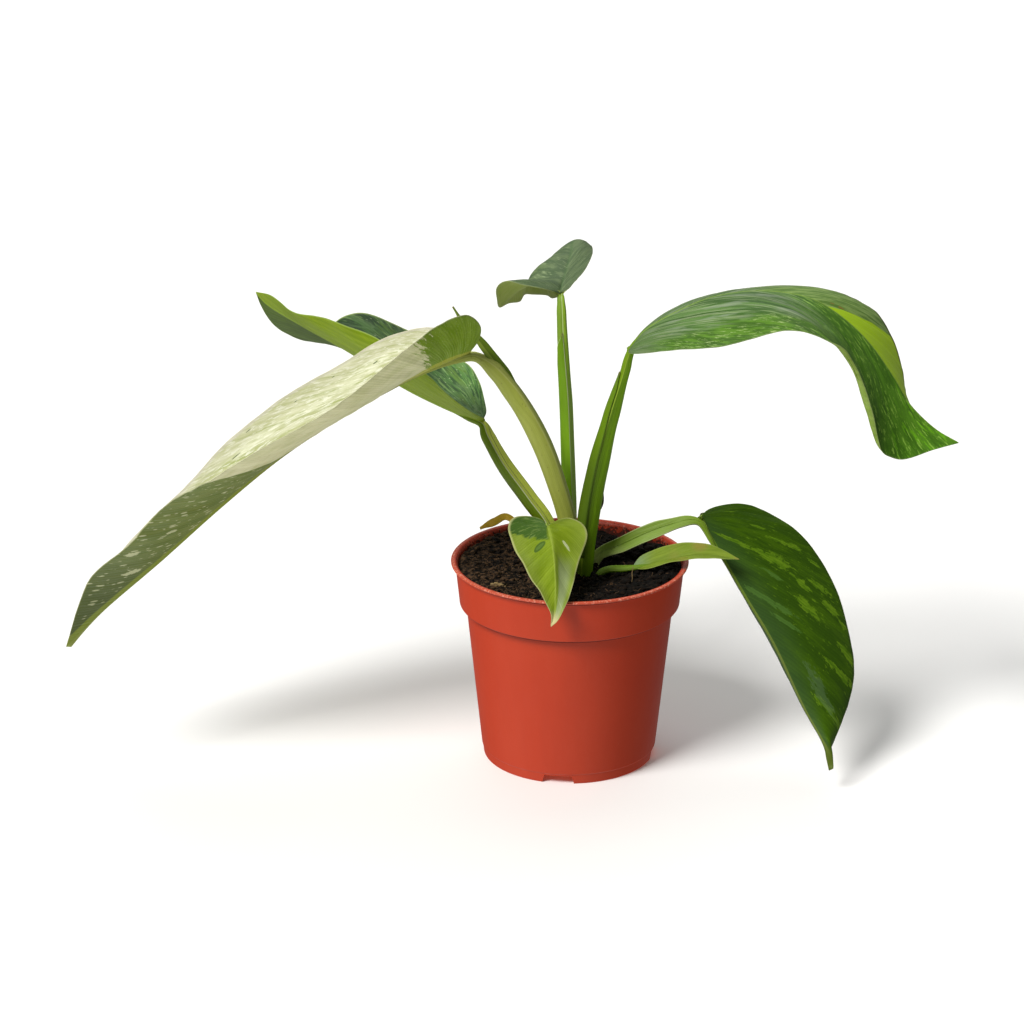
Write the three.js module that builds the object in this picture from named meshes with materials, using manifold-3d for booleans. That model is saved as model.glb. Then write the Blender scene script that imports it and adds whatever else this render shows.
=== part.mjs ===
// Potted philodendron: a plastic nursery pot filled with peat, five large leaves on
// long stalks, two small leaves and a withered one. Millimetres, +Z up, origin at
// the middle of the pot's underside, +X to the right and -Y towards the viewer.
import * as THREE from 'three';
import Module from 'manifold-3d';
import { mergeVertices } from 'three/addons/utils/BufferGeometryUtils.js';

// Pot
const POT_HEIGHT = 91.5;
const RIM_RADIUS = 52.5;
const LIP_THICKNESS = 1.4;
const COLLAR_TOP_RADIUS = 50.6;
const COLLAR_FOOT_RADIUS = 48.8;
const COLLAR_FOOT_Z = 72;
const STEP_Z = 70;
const STEP_RADIUS = 45.9;
const FOOT_RADIUS = 38.4;
const WALL = 1.5;
const FLOOR_Z = 4.2;
const FLOOR_THICKNESS = 1.6;
const FOOT_RING_WIDTH = 2.2;
const PAD_RADIUS = 9;
const POT_SEGMENTS = 48;
const NOTCH_COUNT = 4;
const NOTCH_WIDTH = 13.4;
const NOTCH_HEIGHT = 3.8;
const FIRST_NOTCH_DEG = -98;
const DRAIN_COUNT = 8;
const DRAIN_RADIUS = 3.2;
const DRAIN_CIRCLE = 26;
const FIRST_DRAIN_DEG = 26;

// Soil
const SOIL_TOP = 85.5;
const SOIL_EDGE_TOP = 88.2;
const SOIL_BOTTOM = FLOOR_Z + FLOOR_THICKNESS + 0.4;
const SOIL_SEGMENTS = 36;
const HOLE_ROOM = 0.45;
const HOLE_REACH = 17;

// Leaves
const GAP = 0.3;
const BLADE_THICKNESS = 0.7;
const TIP_THICKNESS = 0.6;
const RIB_DEPTH = 1.3;
const WELD = 0.03;

const wasm = await Module();
wasm.setup();

function toManifold(geometry, tolerance = 1e-4) {
  const bare = new THREE.BufferGeometry();
  bare.setAttribute('position', geometry.getAttribute('position'));
  if (geometry.index) {
    bare.setIndex(geometry.index);
  }
  const merged = mergeVertices(bare, tolerance);
  return new wasm.Manifold(new wasm.Mesh({
    numProp: 3,
    vertProperties: new Float32Array(merged.getAttribute('position').array),
    triVerts: new Uint32Array(merged.index.array),
  }));
}

function fromManifold(solid) {
  const data = solid.getMesh();
  const geometry = new THREE.BufferGeometry();
  const positions = new THREE.BufferAttribute(new Float32Array(data.vertProperties), 3);
  geometry.setAttribute('position', positions);
  geometry.setIndex(Array.from(data.triVerts));
  return geometry;
}

// A cut solid's own surface, with the points that a cut leaves close together run into one.
function finished(solid) {
  return fromManifold(toManifold(fromManifold(solid), WELD));
}

// A closed surface from a list of points and a list of triangles.
function meshOf(points, triangles) {
  const geometry = new THREE.BufferGeometry();
  const flat = points.flatMap((p) => [p.x, p.y, p.z]);
  geometry.setAttribute('position', new THREE.Float32BufferAttribute(flat, 3));
  geometry.setIndex(triangles.flat());
  return geometry;
}

function curveOf(points) {
  const list = points.map((p) => new THREE.Vector3(...p));
  return new THREE.CatmullRomCurve3(list, false, 'centripetal');
}

// A value that runs smoothly through a few evenly spaced ones.
function along(values, s) {
  if (typeof values === 'number') {
    return values;
  }
  const x = Math.min(Math.max(s, 0), 1) * (values.length - 1);
  const i = Math.min(Math.floor(x), values.length - 2);
  const f = x - i;
  const w = f * f * (3 - 2 * f);
  return values[i] * (1 - w) + values[i + 1] * w;
}

// A profile of [radius, z] points that starts and ends on the Z axis, turned about it.
function turned(profile, segments) {
  const points = profile.map(([r, z]) => new THREE.Vector2(r, z));
  const solid = new THREE.LatheGeometry(points, segments).rotateX(Math.PI / 2);
  return toManifold(outward(solid));
}

// A stalk's cross-section: round below, with a channel and thin wings above.
const SECTION_SIDES = 12;

function sectionPoint(k, width, depth, channel, wing) {
  const a = (2 * Math.PI * k) / SECTION_SIDES;
  const fromTop = Math.min(k, SECTION_SIDES - k);
  const spread = fromTop === 2 ? 1 + wing : 1;
  const dent = [1 - 1.25 * channel, 1 - 0.9 * channel, 1 + 0.5 * wing][fromTop] ?? 1;
  return [Math.sin(a) * 0.5 * width * spread, Math.cos(a) * 0.5 * depth * dent];
}

// A stalk swept along a curve. `face` is the direction its channelled side looks to,
// `reach` the share of the curve that is used and `drop` moves the foot further down.
function stalk(spec) {
  const { path, face, width, depth, channel = 0, wing = 0, rings = 14 } = spec;
  const { reach = 1, drop = 0 } = spec;
  const curve = curveOf(path);
  const up = new THREE.Vector3(...face).normalize();
  const points = [];
  const triangles = [];
  for (let i = 0; i <= rings; i += 1) {
    const s = (reach * i) / rings;
    const centre = curve.getPointAt(s);
    const tangent = curve.getTangentAt(s);
    if (i === 0) {
      centre.addScaledVector(tangent, -drop);
    }
    const top = up.clone().addScaledVector(tangent, -up.dot(tangent)).normalize();
    const side = new THREE.Vector3().crossVectors(tangent, top);
    const w = along(width, s);
    const h = along(depth ?? width, s);
    for (let k = 0; k < SECTION_SIDES; k += 1) {
      const [x, y] = sectionPoint(k, w, h, along(channel, s), along(wing, s));
      points.push(centre.clone().addScaledVector(side, x).addScaledVector(top, y));
    }
  }
  for (let i = 0; i < rings; i += 1) {
    for (let k = 0; k < SECTION_SIDES; k += 1) {
      const a = i * SECTION_SIDES + k;
      const b = i * SECTION_SIDES + ((k + 1) % SECTION_SIDES);
      triangles.push([a, a + SECTION_SIDES, b + SECTION_SIDES]);
      triangles.push([a, b + SECTION_SIDES, b]);
    }
  }
  const start = points.length;
  const foot = curve.getPointAt(0).addScaledVector(curve.getTangentAt(0), -drop);
  points.push(foot, curve.getPointAt(reach));
  const last = rings * SECTION_SIDES;
  for (let k = 0; k < SECTION_SIDES; k += 1) {
    const next = (k + 1) % SECTION_SIDES;
    triangles.push([start, k, next]);
    triangles.push([start + 1, last + next, last + k]);
  }
  return outward(meshOf(points, triangles));
}

// Turns a closed mesh so that its faces look outward.
function outward(geometry) {
  const p = geometry.getAttribute('position');
  const index = geometry.index.array;
  const a = new THREE.Vector3();
  const b = new THREE.Vector3();
  const c = new THREE.Vector3();
  let volume = 0;
  for (let i = 0; i < index.length; i += 3) {
    a.fromBufferAttribute(p, index[i]);
    b.fromBufferAttribute(p, index[i + 1]);
    c.fromBufferAttribute(p, index[i + 2]);
    volume += a.dot(b.cross(c));
  }
  if (volume < 0) {
    for (let i = 0; i < index.length; i += 3) {
      const keep = index[i];
      index[i] = index[i + 1];
      index[i + 1] = keep;
    }
  }
  return geometry;
}

// A blade is a thin bent sheet between a midrib and two margins, all three drawn from
// the stalk to the tip. Each row of the sheet follows a vein: it leaves the midrib and
// reaches the margin further ahead, so the rows fan out round the lobes at the base.
// `fan` sets how strongly, `sag` bows each half between midrib and margin.
const ACROSS = [0, 0.12, 0.38, 0.7, 1];

function blade(leaf, thickness = BLADE_THICKNESS) {
  const { midrib, left, right, fan = 1.7, rows = 16, rib = RIB_DEPTH } = leaf;
  const centre = curveOf(midrib);
  const base = midrib[0];
  const tip = midrib[midrib.length - 1];
  const margins = [curveOf([base, ...left, tip]), curveOf([base, ...right, tip])];
  const sags = [leaf.sagLeft ?? 0, leaf.sagRight ?? 0];
  const columns = ACROSS.length;
  const across = 2 * columns - 1;
  const sheet = [];
  for (let i = 1; i < rows; i += 1) {
    const s = i / rows;
    const m = s ** fan;
    const middle = centre.getPointAt(m);
    const ahead = centre.getTangentAt(m);
    const row = [];
    for (let j = 0; j < across; j += 1) {
      const half = j < columns - 1 ? 0 : 1;
      const t = ACROSS[Math.abs(j - columns + 1)];
      const edge = margins[half].getPointAt(s);
      const reach = edge.clone().sub(middle);
      const normal = new THREE.Vector3().crossVectors(reach, ahead).normalize();
      if (half === 0) {
        normal.negate();
      }
      const bow = 4 * t * (1 - t) * along(sags[half], s);
      row.push(middle.clone().addScaledVector(reach, t).addScaledVector(normal, bow));
    }
    sheet.push(row);
  }
  const first = new THREE.Vector3(...base);
  const last = new THREE.Vector3(...tip);
  return thickened(sheet, first, last, thickness, rib);
}

// Closes a sheet of rows, which run together in one point at either end, into a solid.
function thickened(sheet, first, last, thickness, rib) {
  const across = sheet[0].length;
  const middle = (across - 1) / 2;
  const at = (i, j) => {
    if (i < 0) {
      return first;
    }
    return i >= sheet.length ? last : sheet[i][Math.min(Math.max(j, 0), across - 1)];
  };
  const normalAt = (i, j) => {
    const lengthwise = at(i + 1, j).clone().sub(at(i - 1, j));
    const crosswise = at(i, j + 1).clone().sub(at(i, j - 1));
    return crosswise.cross(lengthwise).normalize();
  };
  const points = [];
  const triangles = [];
  const rows = sheet.length;
  for (const side of [1, -1]) {
    for (let i = 0; i < rows; i += 1) {
      for (let j = 0; j < across; j += 1) {
        const lift = thickness / 2;
        const extra = side < 0 && j === middle ? rib * (1 - i / rows) : 0;
        points.push(at(i, j).clone().addScaledVector(normalAt(i, j), side * (lift + extra)));
      }
    }
  }
  const grid = rows * across;
  const ends = points.length;
  const startNormal = normalAt(0, middle);
  const endNormal = normalAt(rows - 1, middle);
  points.push(first.clone().addScaledVector(startNormal, thickness / 2));
  points.push(first.clone().addScaledVector(startNormal, -thickness / 2));
  points.push(last.clone().addScaledVector(endNormal, TIP_THICKNESS / 2));
  points.push(last.clone().addScaledVector(endNormal, -TIP_THICKNESS / 2));
  const id = (side, i, j) => side * grid + i * across + j;
  for (const side of [0, 1]) {
    const face = (a, b, c) => triangles.push(side === 0 ? [a, b, c] : [a, c, b]);
    for (let i = 0; i < rows - 1; i += 1) {
      for (let j = 0; j < across - 1; j += 1) {
        const a = id(side, i, j);
        const b = id(side, i, j + 1);
        const c = id(side, i + 1, j + 1);
        const d = id(side, i + 1, j);
        if (j < middle) {
          face(a, b, d);
          face(b, c, d);
        } else {
          face(a, b, c);
          face(a, c, d);
        }
      }
    }
    for (let j = 0; j < across - 1; j += 1) {
      face(ends + side, id(side, 0, j + 1), id(side, 0, j));
      face(ends + 2 + side, id(side, rows - 1, j), id(side, rows - 1, j + 1));
    }
  }
  const strip = (top, bottom, flip) => {
    for (let i = 0; i < top.length - 1; i += 1) {
      const quad = [top[i], top[i + 1], bottom[i + 1], bottom[i]];
      if (flip) {
        quad.reverse();
      }
      triangles.push([quad[0], quad[1], quad[2]]);
      triangles.push([quad[0], quad[2], quad[3]]);
    }
  };
  const edge = (side, j) => {
    const line = [ends + side];
    for (let i = 0; i < rows; i += 1) {
      line.push(id(side, i, j));
    }
    line.push(ends + 2 + side);
    return line;
  };
  strip(edge(0, 0), edge(1, 0), false);
  strip(edge(0, across - 1), edge(1, across - 1), true);
  return outward(meshOf(points, triangles));
}

// Materials
const POT_PLASTIC = new THREE.MeshStandardMaterial({ color: 0xc4452a, roughness: 0.42 });
const SOIL = new THREE.MeshStandardMaterial({ color: 0x231b15, roughness: 0.95 });
const STALK_OLIVE = new THREE.MeshStandardMaterial({ color: 0x98a048, roughness: 0.45 });
const STALK_GREEN = new THREE.MeshStandardMaterial({ color: 0x6f9a2e, roughness: 0.45 });
const LEAF_CREAM = new THREE.MeshStandardMaterial({ color: 0xc9cc98, roughness: 0.38 });
const LEAF_GREEN = new THREE.MeshStandardMaterial({ color: 0x4a7a30, roughness: 0.38 });
const LEAF_LIGHT = new THREE.MeshStandardMaterial({ color: 0x9cc24a, roughness: 0.4 });
const DRIED = new THREE.MeshStandardMaterial({ color: 0x4a3524, roughness: 0.85 });
const WITHERED = new THREE.MeshStandardMaterial({ color: 0xb98a2c, roughness: 0.7 });

const group = new THREE.Group();
group.name = 'potted_philodendron';

function addPart(name, geometry, material) {
  const mesh = new THREE.Mesh(geometry, material);
  mesh.name = name;
  group.add(mesh);
  return mesh;
}

// The pot: one moulded wall with a rolled lip, a collar and a foot ring that stands
// proud of the floor, with notches through the ring and drain holes through the floor.
function potSolid() {
  const innerFoot = FOOT_RADIUS - FOOT_RING_WIDTH;
  const profile = [
    [0, 0],
    [PAD_RADIUS, 0],
    [PAD_RADIUS + 1, FLOOR_Z],
    [innerFoot, FLOOR_Z],
    [innerFoot, 0],
    [FOOT_RADIUS, 0],
    [STEP_RADIUS, STEP_Z],
    [COLLAR_FOOT_RADIUS, COLLAR_FOOT_Z],
    [COLLAR_TOP_RADIUS, POT_HEIGHT - LIP_THICKNESS],
    [RIM_RADIUS, POT_HEIGHT - LIP_THICKNESS + 0.3],
    [RIM_RADIUS, POT_HEIGHT - 0.4],
    [RIM_RADIUS - 0.5, POT_HEIGHT],
    [COLLAR_TOP_RADIUS - WALL + 0.4, POT_HEIGHT],
    [COLLAR_TOP_RADIUS - WALL, POT_HEIGHT - 0.6],
    [COLLAR_FOOT_RADIUS - WALL, COLLAR_FOOT_Z + 0.6],
    [STEP_RADIUS - WALL, STEP_Z - 0.4],
    [FOOT_RADIUS - WALL + 0.2, FLOOR_Z + FLOOR_THICKNESS],
    [0, FLOOR_Z + FLOOR_THICKNESS],
  ];
  let pot = turned(profile, POT_SEGMENTS);
  for (let i = 0; i < NOTCH_COUNT; i += 1) {
    const turn = FIRST_NOTCH_DEG + (360 / NOTCH_COUNT) * i;
    const notch = new THREE.BoxGeometry(4 * FOOT_RING_WIDTH, NOTCH_WIDTH, 2 * NOTCH_HEIGHT)
      .translate(FOOT_RADIUS, 0, 0)
      .rotateZ(THREE.MathUtils.degToRad(turn));
    pot = pot.subtract(toManifold(notch));
  }
  for (let i = 0; i < DRAIN_COUNT; i += 1) {
    const turn = (360 / DRAIN_COUNT) * i + FIRST_DRAIN_DEG;
    const drain = new THREE.CylinderGeometry(DRAIN_RADIUS, DRAIN_RADIUS, 20, 16)
      .rotateX(Math.PI / 2)
      .translate(DRAIN_CIRCLE, 0, 0)
      .rotateZ(THREE.MathUtils.degToRad(turn));
    pot = pot.subtract(toManifold(drain));
  }
  return pot;
}

addPart('pot', finished(potSolid()), POT_PLASTIC);

// The leaf stalks. Each path starts in its hole in the soil and ends just behind the blade.

const STALK_A = {
  path: [[3, 4, 74], [2, 3, 90], [-0.6, 1, 109], [-5, -1, 126], [-12.4, -3, 147.6],
    [-23.2, -4, 168], [-34.8, -4, 182.2], [-41, -4, 186.2]],
  face: [1, 0, 0.6],
  width: [8, 8.4, 8.7, 9, 8.2, 4.6],
  depth: [8.4, 9, 9.6, 10.2, 9.2, 4.2],
  channel: [0, 0.1, 0.25, 0.3, 0.2, 0],
  wing: 0.05,
  rings: 18,
  endGap: 1.25,
};
const SHEATH_A = {
  path: [[-24, -4, 171], [-33, -4, 185], [-40, -3, 194], [-46, -1, 200], [-51, 2, 207]],
  face: [0.6, -1, 0.5],
  width: [2, 5.2, 4.8, 2.6, 0.9],
  depth: [1.4, 1.4, 1.1, 0.9, 0.8],
  rings: 8,
};
const STALK_B = {
  path: [[-5, 10, 74], [-6, 10, 88], [-10, 13, 103], [-18, 16, 114], [-29, 22, 128],
    [-36, 28, 139], [-37.6, 30, 142]],
  face: [1, -0.3, 0.6],
  width: [7, 9, 9.6, 10, 9, 5],
  depth: [6, 7.5, 7.5, 7.4, 6.4, 3.4],
  channel: [0.2, 0.5, 0.5, 0.5, 0.4, 0],
  wing: [0.1, 0.15, 0.15, 0.1, 0.05, 0],
  rings: 14,
  endGap: 0.85,
};
const STALK_C = {
  path: [[3, 12, 74], [1.2, 11, 90], [0.4, 11, 115], [-0.5, 11, 138], [-1.5, 10, 162],
    [-3.5, 10, 189], [-4.2, 11, 205]],
  face: [1, -0.4, 0],
  width: [5.5, 5.4, 5.4, 5.4, 5.2, 4.6, 3.4],
  depth: [6, 6.3, 6.2, 6, 5.6, 4.8, 3.6],
  channel: [0.2, 0.3, 0.3, 0.3, 0.3, 0.1, 0],
  wing: [0.1, 0.15, 0.15, 0.15, 0.15, 0, 0],
  rings: 14,
  endGap: 1.15,
};
const SHEATH_C = {
  path: [[-1.6, 8.4, 168], [-2, 7.9, 178], [-2.6, 7.4, 186], [-3, 7.1, 191]],
  face: [0, -1, 0],
  width: [3, 3.2, 2.2, 0.9],
  depth: [1.6, 1.4, 1, 0.8],
  rings: 6,
};
const STALK_D = {
  path: [[5.5, -5, 74], [6, -5.4, 88], [7.7, -6, 112], [11.6, -6, 135], [17, -5.5, 158],
    [23.4, -5, 181], [24.5, -5, 186]],
  face: [-1, -0.3, 0.3],
  width: [6.5, 8, 9, 8.4, 6.6, 4.6, 3],
  depth: [7, 8.5, 10, 9.4, 7.4, 4.8, 3],
  channel: [0.1, 0.2, 0.2, 0.2, 0.2, 0.2, 0],
  wing: [0.05, 0.1, 0.12, 0.12, 0.12, 0, 0],
  rings: 14,
  endGap: 0.65,
};
const SHEATH_D = {
  path: [[14.4, -6, 156], [17.2, -6, 167], [19.4, -6, 176], [20.5, -6, 181]],
  face: [-1, -1, 0.3],
  width: [3, 3.4, 2.4, 0.9],
  depth: [1.4, 1.4, 1.1, 0.8],
  rings: 6,
};
const STALK_E = {
  path: [[10, 6, 74], [10.5, 5.6, 86], [13.5, 5, 91.6], [22.9, 3.4, 96.6], [31.7, 2, 101.6],
    [41, 1.2, 105.8], [53, 0.2, 109.4]],
  face: [0, -1, 0.8],
  width: [5, 5.2, 6.8, 6.8, 5.2, 2.6],
  depth: [5, 4.4, 4, 3.6, 2.9, 2.3],
  channel: [0.2, 0.5, 0.6, 0.6, 0.5, 0.2],
  wing: [0, 0.15, 0.25, 0.25, 0.1, 0],
  rings: 14,
  endGap: 0.45,
};
const STALK_G = {
  path: [[0, -6, 74], [0, -7, 88], [-2, -12, 100], [-5.6, -19.4, 109], [-8, -22.8, 113.2]],
  face: [0, 1, 1],
  width: [4, 4, 3.6, 3, 1.6],
  rings: 8,
  endGap: 1.2,
};

// The blades, from the stalk to the tip.
const LEAF_A = {
  midrib: [[-45, -4, 187], [-61, -5, 181.6], [-82, -7, 171], [-104, -9, 158], [-126, -11, 143],
    [-152, -14, 121.4], [-179, -17, 97], [-206, -21, 73.8], [-221, -23, 59]],
  left: [[-40, -9, 195], [-39, -16, 204], [-45, -24, 211], [-56, -30, 209], [-67, -36, 203],
    [-91, -42, 183], [-121, -46, 165], [-146, -46, 149.6], [-171, -44, 134], [-189, -40, 114],
    [-206, -35, 98], [-213, -30, 83]],
  right: [[-40, 5, 192], [-46, 18, 191], [-65, 28, 189], [-84, 33, 182], [-106, 34, 167.6],
    [-132, 33, 152.2], [-151, 30, 136.4], [-169, 22, 119.4], [-186, 12, 105], [-204, 0, 86]],
  sagLeft: [0, -3, -3, -2, 0],
  sagRight: [0, -4, -4, -4, -2],
  fan: 1.6,
  rows: 20,
};
const LEAF_B = {
  midrib: [[-39, 32, 145], [-54, 38, 149], [-75, 46, 157], [-97, 55, 169], [-118, 62, 179],
    [-136, 69, 188], [-141, 71, 193]],
  left: [[-38, 26, 148], [-44, 20, 153], [-55, 20, 163], [-64, 25, 169], [-84, 36, 181],
    [-104, 42, 188], [-122, 50, 190], [-134, 62, 194]],
  right: [[-37, 40, 146], [-38, 50, 149], [-40.2, 60.6, 153.6], [-45.6, 71, 158.8], [-58, 80, 163],
    [-77, 88, 171.6], [-92, 93, 175.6], [-101, 94, 174.6], [-106.8, 92.4, 172], [-112, 89, 166],
    [-120, 85, 165], [-129, 80, 171], [-135, 76, 178], [-139, 73, 186]],
  sagLeft: [0, -2, -2, 0],
  sagRight: [0, -3, -1, 0, 0],
  rows: 18,
};
const LEAF_C = {
  midrib: [[-5, 12, 210], [-2, 34, 213], [0.8, 54, 216.2], [1.8, 72, 216.4], [3.2, 86, 211.4],
    [6, 98, 203], [6, 108, 193]],
  left: [[-11, 8, 213], [-21, 8, 215], [-28, 10, 216], [-32, 14, 212], [-32, 19, 205],
    [-31, 24, 200], [-27, 30, 200], [-22, 36, 199], [-20, 43, 200], [-16, 50, 198],
    [-10, 62, 194], [-7, 74, 189], [-1, 92, 187]],
  right: [[-1.6, 14, 211], [1.6, 22, 212], [6.6, 38, 213], [10.2, 56, 215], [10.2, 70, 214.4],
    [9.4, 82, 210], [8, 96, 201]],
  sagLeft: [0, 2, 6, 6, 2],
  sagRight: [0, 0, 2, 1],
  fan: 1.5,
  rows: 18,
};
const LEAF_D = {
  midrib: [[25, -5, 190], [31, -5, 198], [46, -4, 207], [60, -4, 213], [80, -5, 216],
    [100, -7, 214], [112, -8, 208], [126, -10, 196], [138, -13, 180], [145, -16, 169],
    [156, -20, 159], [166, -24, 154]],
  right: [[25, -14, 191], [36, -24, 195], [59, -34, 200], [75, -38, 205], [93, -40, 209.2],
    [107.4, -40.4, 205], [116.4, -38.4, 193.4], [124.4, -36.4, 173.6], [130.4, -34.4, 155.6],
    [140, -31, 149],
    [155, -27, 152]],
  left: [[25, 2, 188], [34, 14, 193], [52, 24, 201], [71, 28, 205], [95, 30, 206],
    [118, 28, 205], [134, 24, 198], [140, 18, 188], [145, 8, 174], [146, -6, 166],
    [150.4, -13.6, 158], [156.6, -19.6, 155.8]],
  sagRight: [0, 2, 2, 2, 0],
  sagLeft: [0, 2, 2, 1, 0],
  fan: 1.5,
  rows: 20,
};
const LEAF_E = {
  midrib: [[57, 0, 110], [63, -3, 100], [77, -12, 78], [89, -21, 60], [102, -33, 35],
    [112, -43, 18], [113, -46, 10]],
  left: [[60, 3, 113], [69, 8, 114], [81, 12, 112], [97, 12, 103], [111, 8, 89],
    [120, 0, 71], [125, -10, 53], [124, -22, 35], [117, -36, 21], [113.6, -41.8, 16.4]],
  right: [[58, 8, 110], [64, 18, 104], [72, 20, 90], [83, 14, 71], [94, 2, 52],
    [105, -18, 31], [111, -38, 18]],
  sagLeft: [0, 2, 3, 2],
  sagRight: [0, 2, 2, 0],
  rows: 16,
};
const LEAF_F = {
  midrib: [[27, -8, 90], [42, -10, 94.8], [57, -12, 98.2], [74, -15, 97]],
  left: [[31, -4, 94], [39, -4, 98], [50, -5, 101], [62, -8, 101]],
  right: [[34, -12, 91.4], [42, -14.4, 95], [56, -16.4, 98], [67, -17, 98]],
  rows: 8,
  fan: 1.2,
  rib: 0.5,
};
const LEAF_G = {
  midrib: [[-10, -24, 116], [-8, -34, 111], [-7, -47, 103], [-7, -56, 95], [-8, -60, 87],
    [-9, -61, 84]],
  right: [[-13, -21, 118], [-18, -20, 119], [-23, -21, 119], [-26, -25, 119], [-27, -31, 116],
    [-24, -40, 111], [-19, -50, 105], [-13, -57, 97], [-9, -60, 90]],
  left: [[-6, -20, 117], [0, -17, 117], [5, -18, 115], [7, -22, 111], [3, -35, 103],
    [0, -50, 97], [-3, -58, 92], [-6, -61, 87]],
  sagLeft: [0, -1, -1, 0],
  sagRight: [0, -1, -1, 0],
  rows: 12,
  rib: 0.6,
};

const solids = {
  blade_a: toManifold(blade(LEAF_A)),
  blade_b: toManifold(blade(LEAF_B)),
  blade_c: toManifold(blade(LEAF_C)),
  blade_d: toManifold(blade(LEAF_D)),
  blade_e: toManifold(blade(LEAF_E)),
  blade_g: toManifold(blade(LEAF_G)),
};

// A stalk that ends just under its blade: the blade's own shape, a gap thicker on
// either side, is cut from it, and what the cut sets loose is dropped.
function carrying(spec, leaf, sheath) {
  const base = new THREE.Vector3(...leaf.midrib[0]);
  const before = new THREE.Vector3(...spec.path[spec.path.length - 1]);
  const end = base.clone().add(before.sub(base).setLength(spec.endGap));
  let solid = toManifold(stalk({ ...spec, path: [...spec.path, end.toArray()] }));
  if (sheath) {
    solid = solid.add(toManifold(stalk(sheath)));
  }
  const pieces = solid
    .subtract(toManifold(blade(leaf, BLADE_THICKNESS + 2.4 * GAP)))
    .decompose();
  pieces.sort((a, b) => b.volume() - a.volume());
  return pieces[0];
}

solids.petiole_a = carrying(STALK_A, LEAF_A, SHEATH_A);
solids.petiole_b = carrying(STALK_B, LEAF_B);
solids.petiole_c = carrying(STALK_C, LEAF_C, SHEATH_C);
solids.petiole_d = carrying(STALK_D, LEAF_D, SHEATH_D);
solids.petiole_e = carrying(STALK_E, LEAF_E);
solids.petiole_g = carrying(STALK_G, LEAF_G);

const STALK_F = {
  path: [[12, -8, 75], [12, -7.5, 83], [13.2, -7.2, 87.4], [17, -7, 89.2], [24, -8, 90.2],
    [31, -8.5, 91.2]],
  face: [-0.6, -0.6, 1],
  width: [2.4, 2.4, 2.2, 2, 1.6],
  rings: 8,
};
solids.leaf_f = toManifold(stalk(STALK_F)).add(toManifold(blade(LEAF_F)));

// The withered leaf at the back of the rim.
const STUB_H = {
  path: [[-17, 8, 76], [-19, 10, 88], [-22, 16, 97], [-25, 23, 101.6], [-29.3, 27.6, 102.8],
    [-33, 30, 99.6], [-37, 32.5, 96], [-39.8, 34, 93.6]],
  face: [-0.3, -1, 0.5],
  width: [1.6, 1.8, 2.4, 3.4, 3.8, 1.4],
  depth: [1.4, 1.4, 1.2, 1.1, 1, 0.9],
  channel: 0.2,
  rings: 12,
};
solids.withered_stub = toManifold(stalk(STUB_H));

// The dried sheath that stands up behind leaf stalk D.
const REMNANT = {
  path: [[9.7, -1.4, 101], [11.8, -1.8, 112], [13.6, -2.2, 122], [15.2, -2.5, 131]],
  face: [0, 1, 0],
  width: [2.6, 3.2, 2.4, 0.9],
  depth: [0.8, 0.8, 0.8, 0.7],
  rings: 6,
};

const STALKS_IN_SOIL = [STALK_A, STALK_B, STALK_C, STALK_D, STALK_E, STALK_F, STALK_G, STUB_H];

// The round hole in which a stalk stands, a little wider and deeper than the stalk.
function holeOf(spec) {
  const reach = HOLE_REACH / curveOf(spec.path).getLength();
  const steps = Array.from({ length: 30 }, (_, i) => i / 29);
  const round = steps.map((s) => {
    const across = Math.max(along(spec.width, s), along(spec.depth ?? spec.width, s));
    return across * (1 + along(spec.wing ?? 0, s)) + 2 * HOLE_ROOM;
  });
  const { path, face } = spec;
  return toManifold(stalk({ path, face, width: round, rings: 3, reach, drop: HOLE_ROOM }));
}

function soilSolid() {
  const inset = WALL + GAP + 0.3;
  const profile = [
    [0, SOIL_BOTTOM],
    [FOOT_RADIUS - inset + 0.2, SOIL_BOTTOM],
    [STEP_RADIUS - inset, STEP_Z - 0.6],
    [COLLAR_FOOT_RADIUS - inset, COLLAR_FOOT_Z + 0.8],
    [COLLAR_TOP_RADIUS - inset - 0.4, SOIL_EDGE_TOP],
    [37, SOIL_EDGE_TOP + 0.4],
    [27, SOIL_TOP],
    [0, SOIL_TOP],
  ];
  let soil = turned(profile, SOIL_SEGMENTS);
  for (const spec of STALKS_IN_SOIL) {
    soil = soil.subtract(holeOf(spec));
  }
  return soil;
}

addPart('soil', finished(soilSolid()), SOIL);
addPart('petiole_a', finished(solids.petiole_a), STALK_OLIVE);
addPart('blade_a', finished(solids.blade_a), LEAF_CREAM);
addPart('petiole_b', finished(solids.petiole_b), STALK_GREEN);
addPart('blade_b', finished(solids.blade_b), LEAF_GREEN);
addPart('petiole_c', finished(solids.petiole_c), STALK_GREEN);
addPart('blade_c', finished(solids.blade_c), LEAF_GREEN);
addPart('petiole_d', finished(solids.petiole_d), STALK_GREEN);
addPart('blade_d', finished(solids.blade_d), LEAF_GREEN);
addPart('petiole_e', finished(solids.petiole_e), STALK_GREEN);
addPart('blade_e', finished(solids.blade_e), LEAF_GREEN);
addPart('leaf_f', finished(solids.leaf_f), LEAF_LIGHT);
addPart('petiole_g', finished(solids.petiole_g), STALK_GREEN);
addPart('blade_g', finished(solids.blade_g), LEAF_LIGHT);
addPart('withered_stub', finished(solids.withered_stub), WITHERED);
addPart('sheath_remnant', stalk(REMNANT), DRIED);

export default group;
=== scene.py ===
# A young variegated philodendron in a plastic nursery pot, in the order in which it is
# put together: pot, peat, leaf stalks, blades, small and withered leaves. Metres, +Z up,
# the pot's underside at z = 0. Outlines are written in millimetres.
import math
import random

import bmesh
import bpy
import numpy as np
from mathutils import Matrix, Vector, noise


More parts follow.
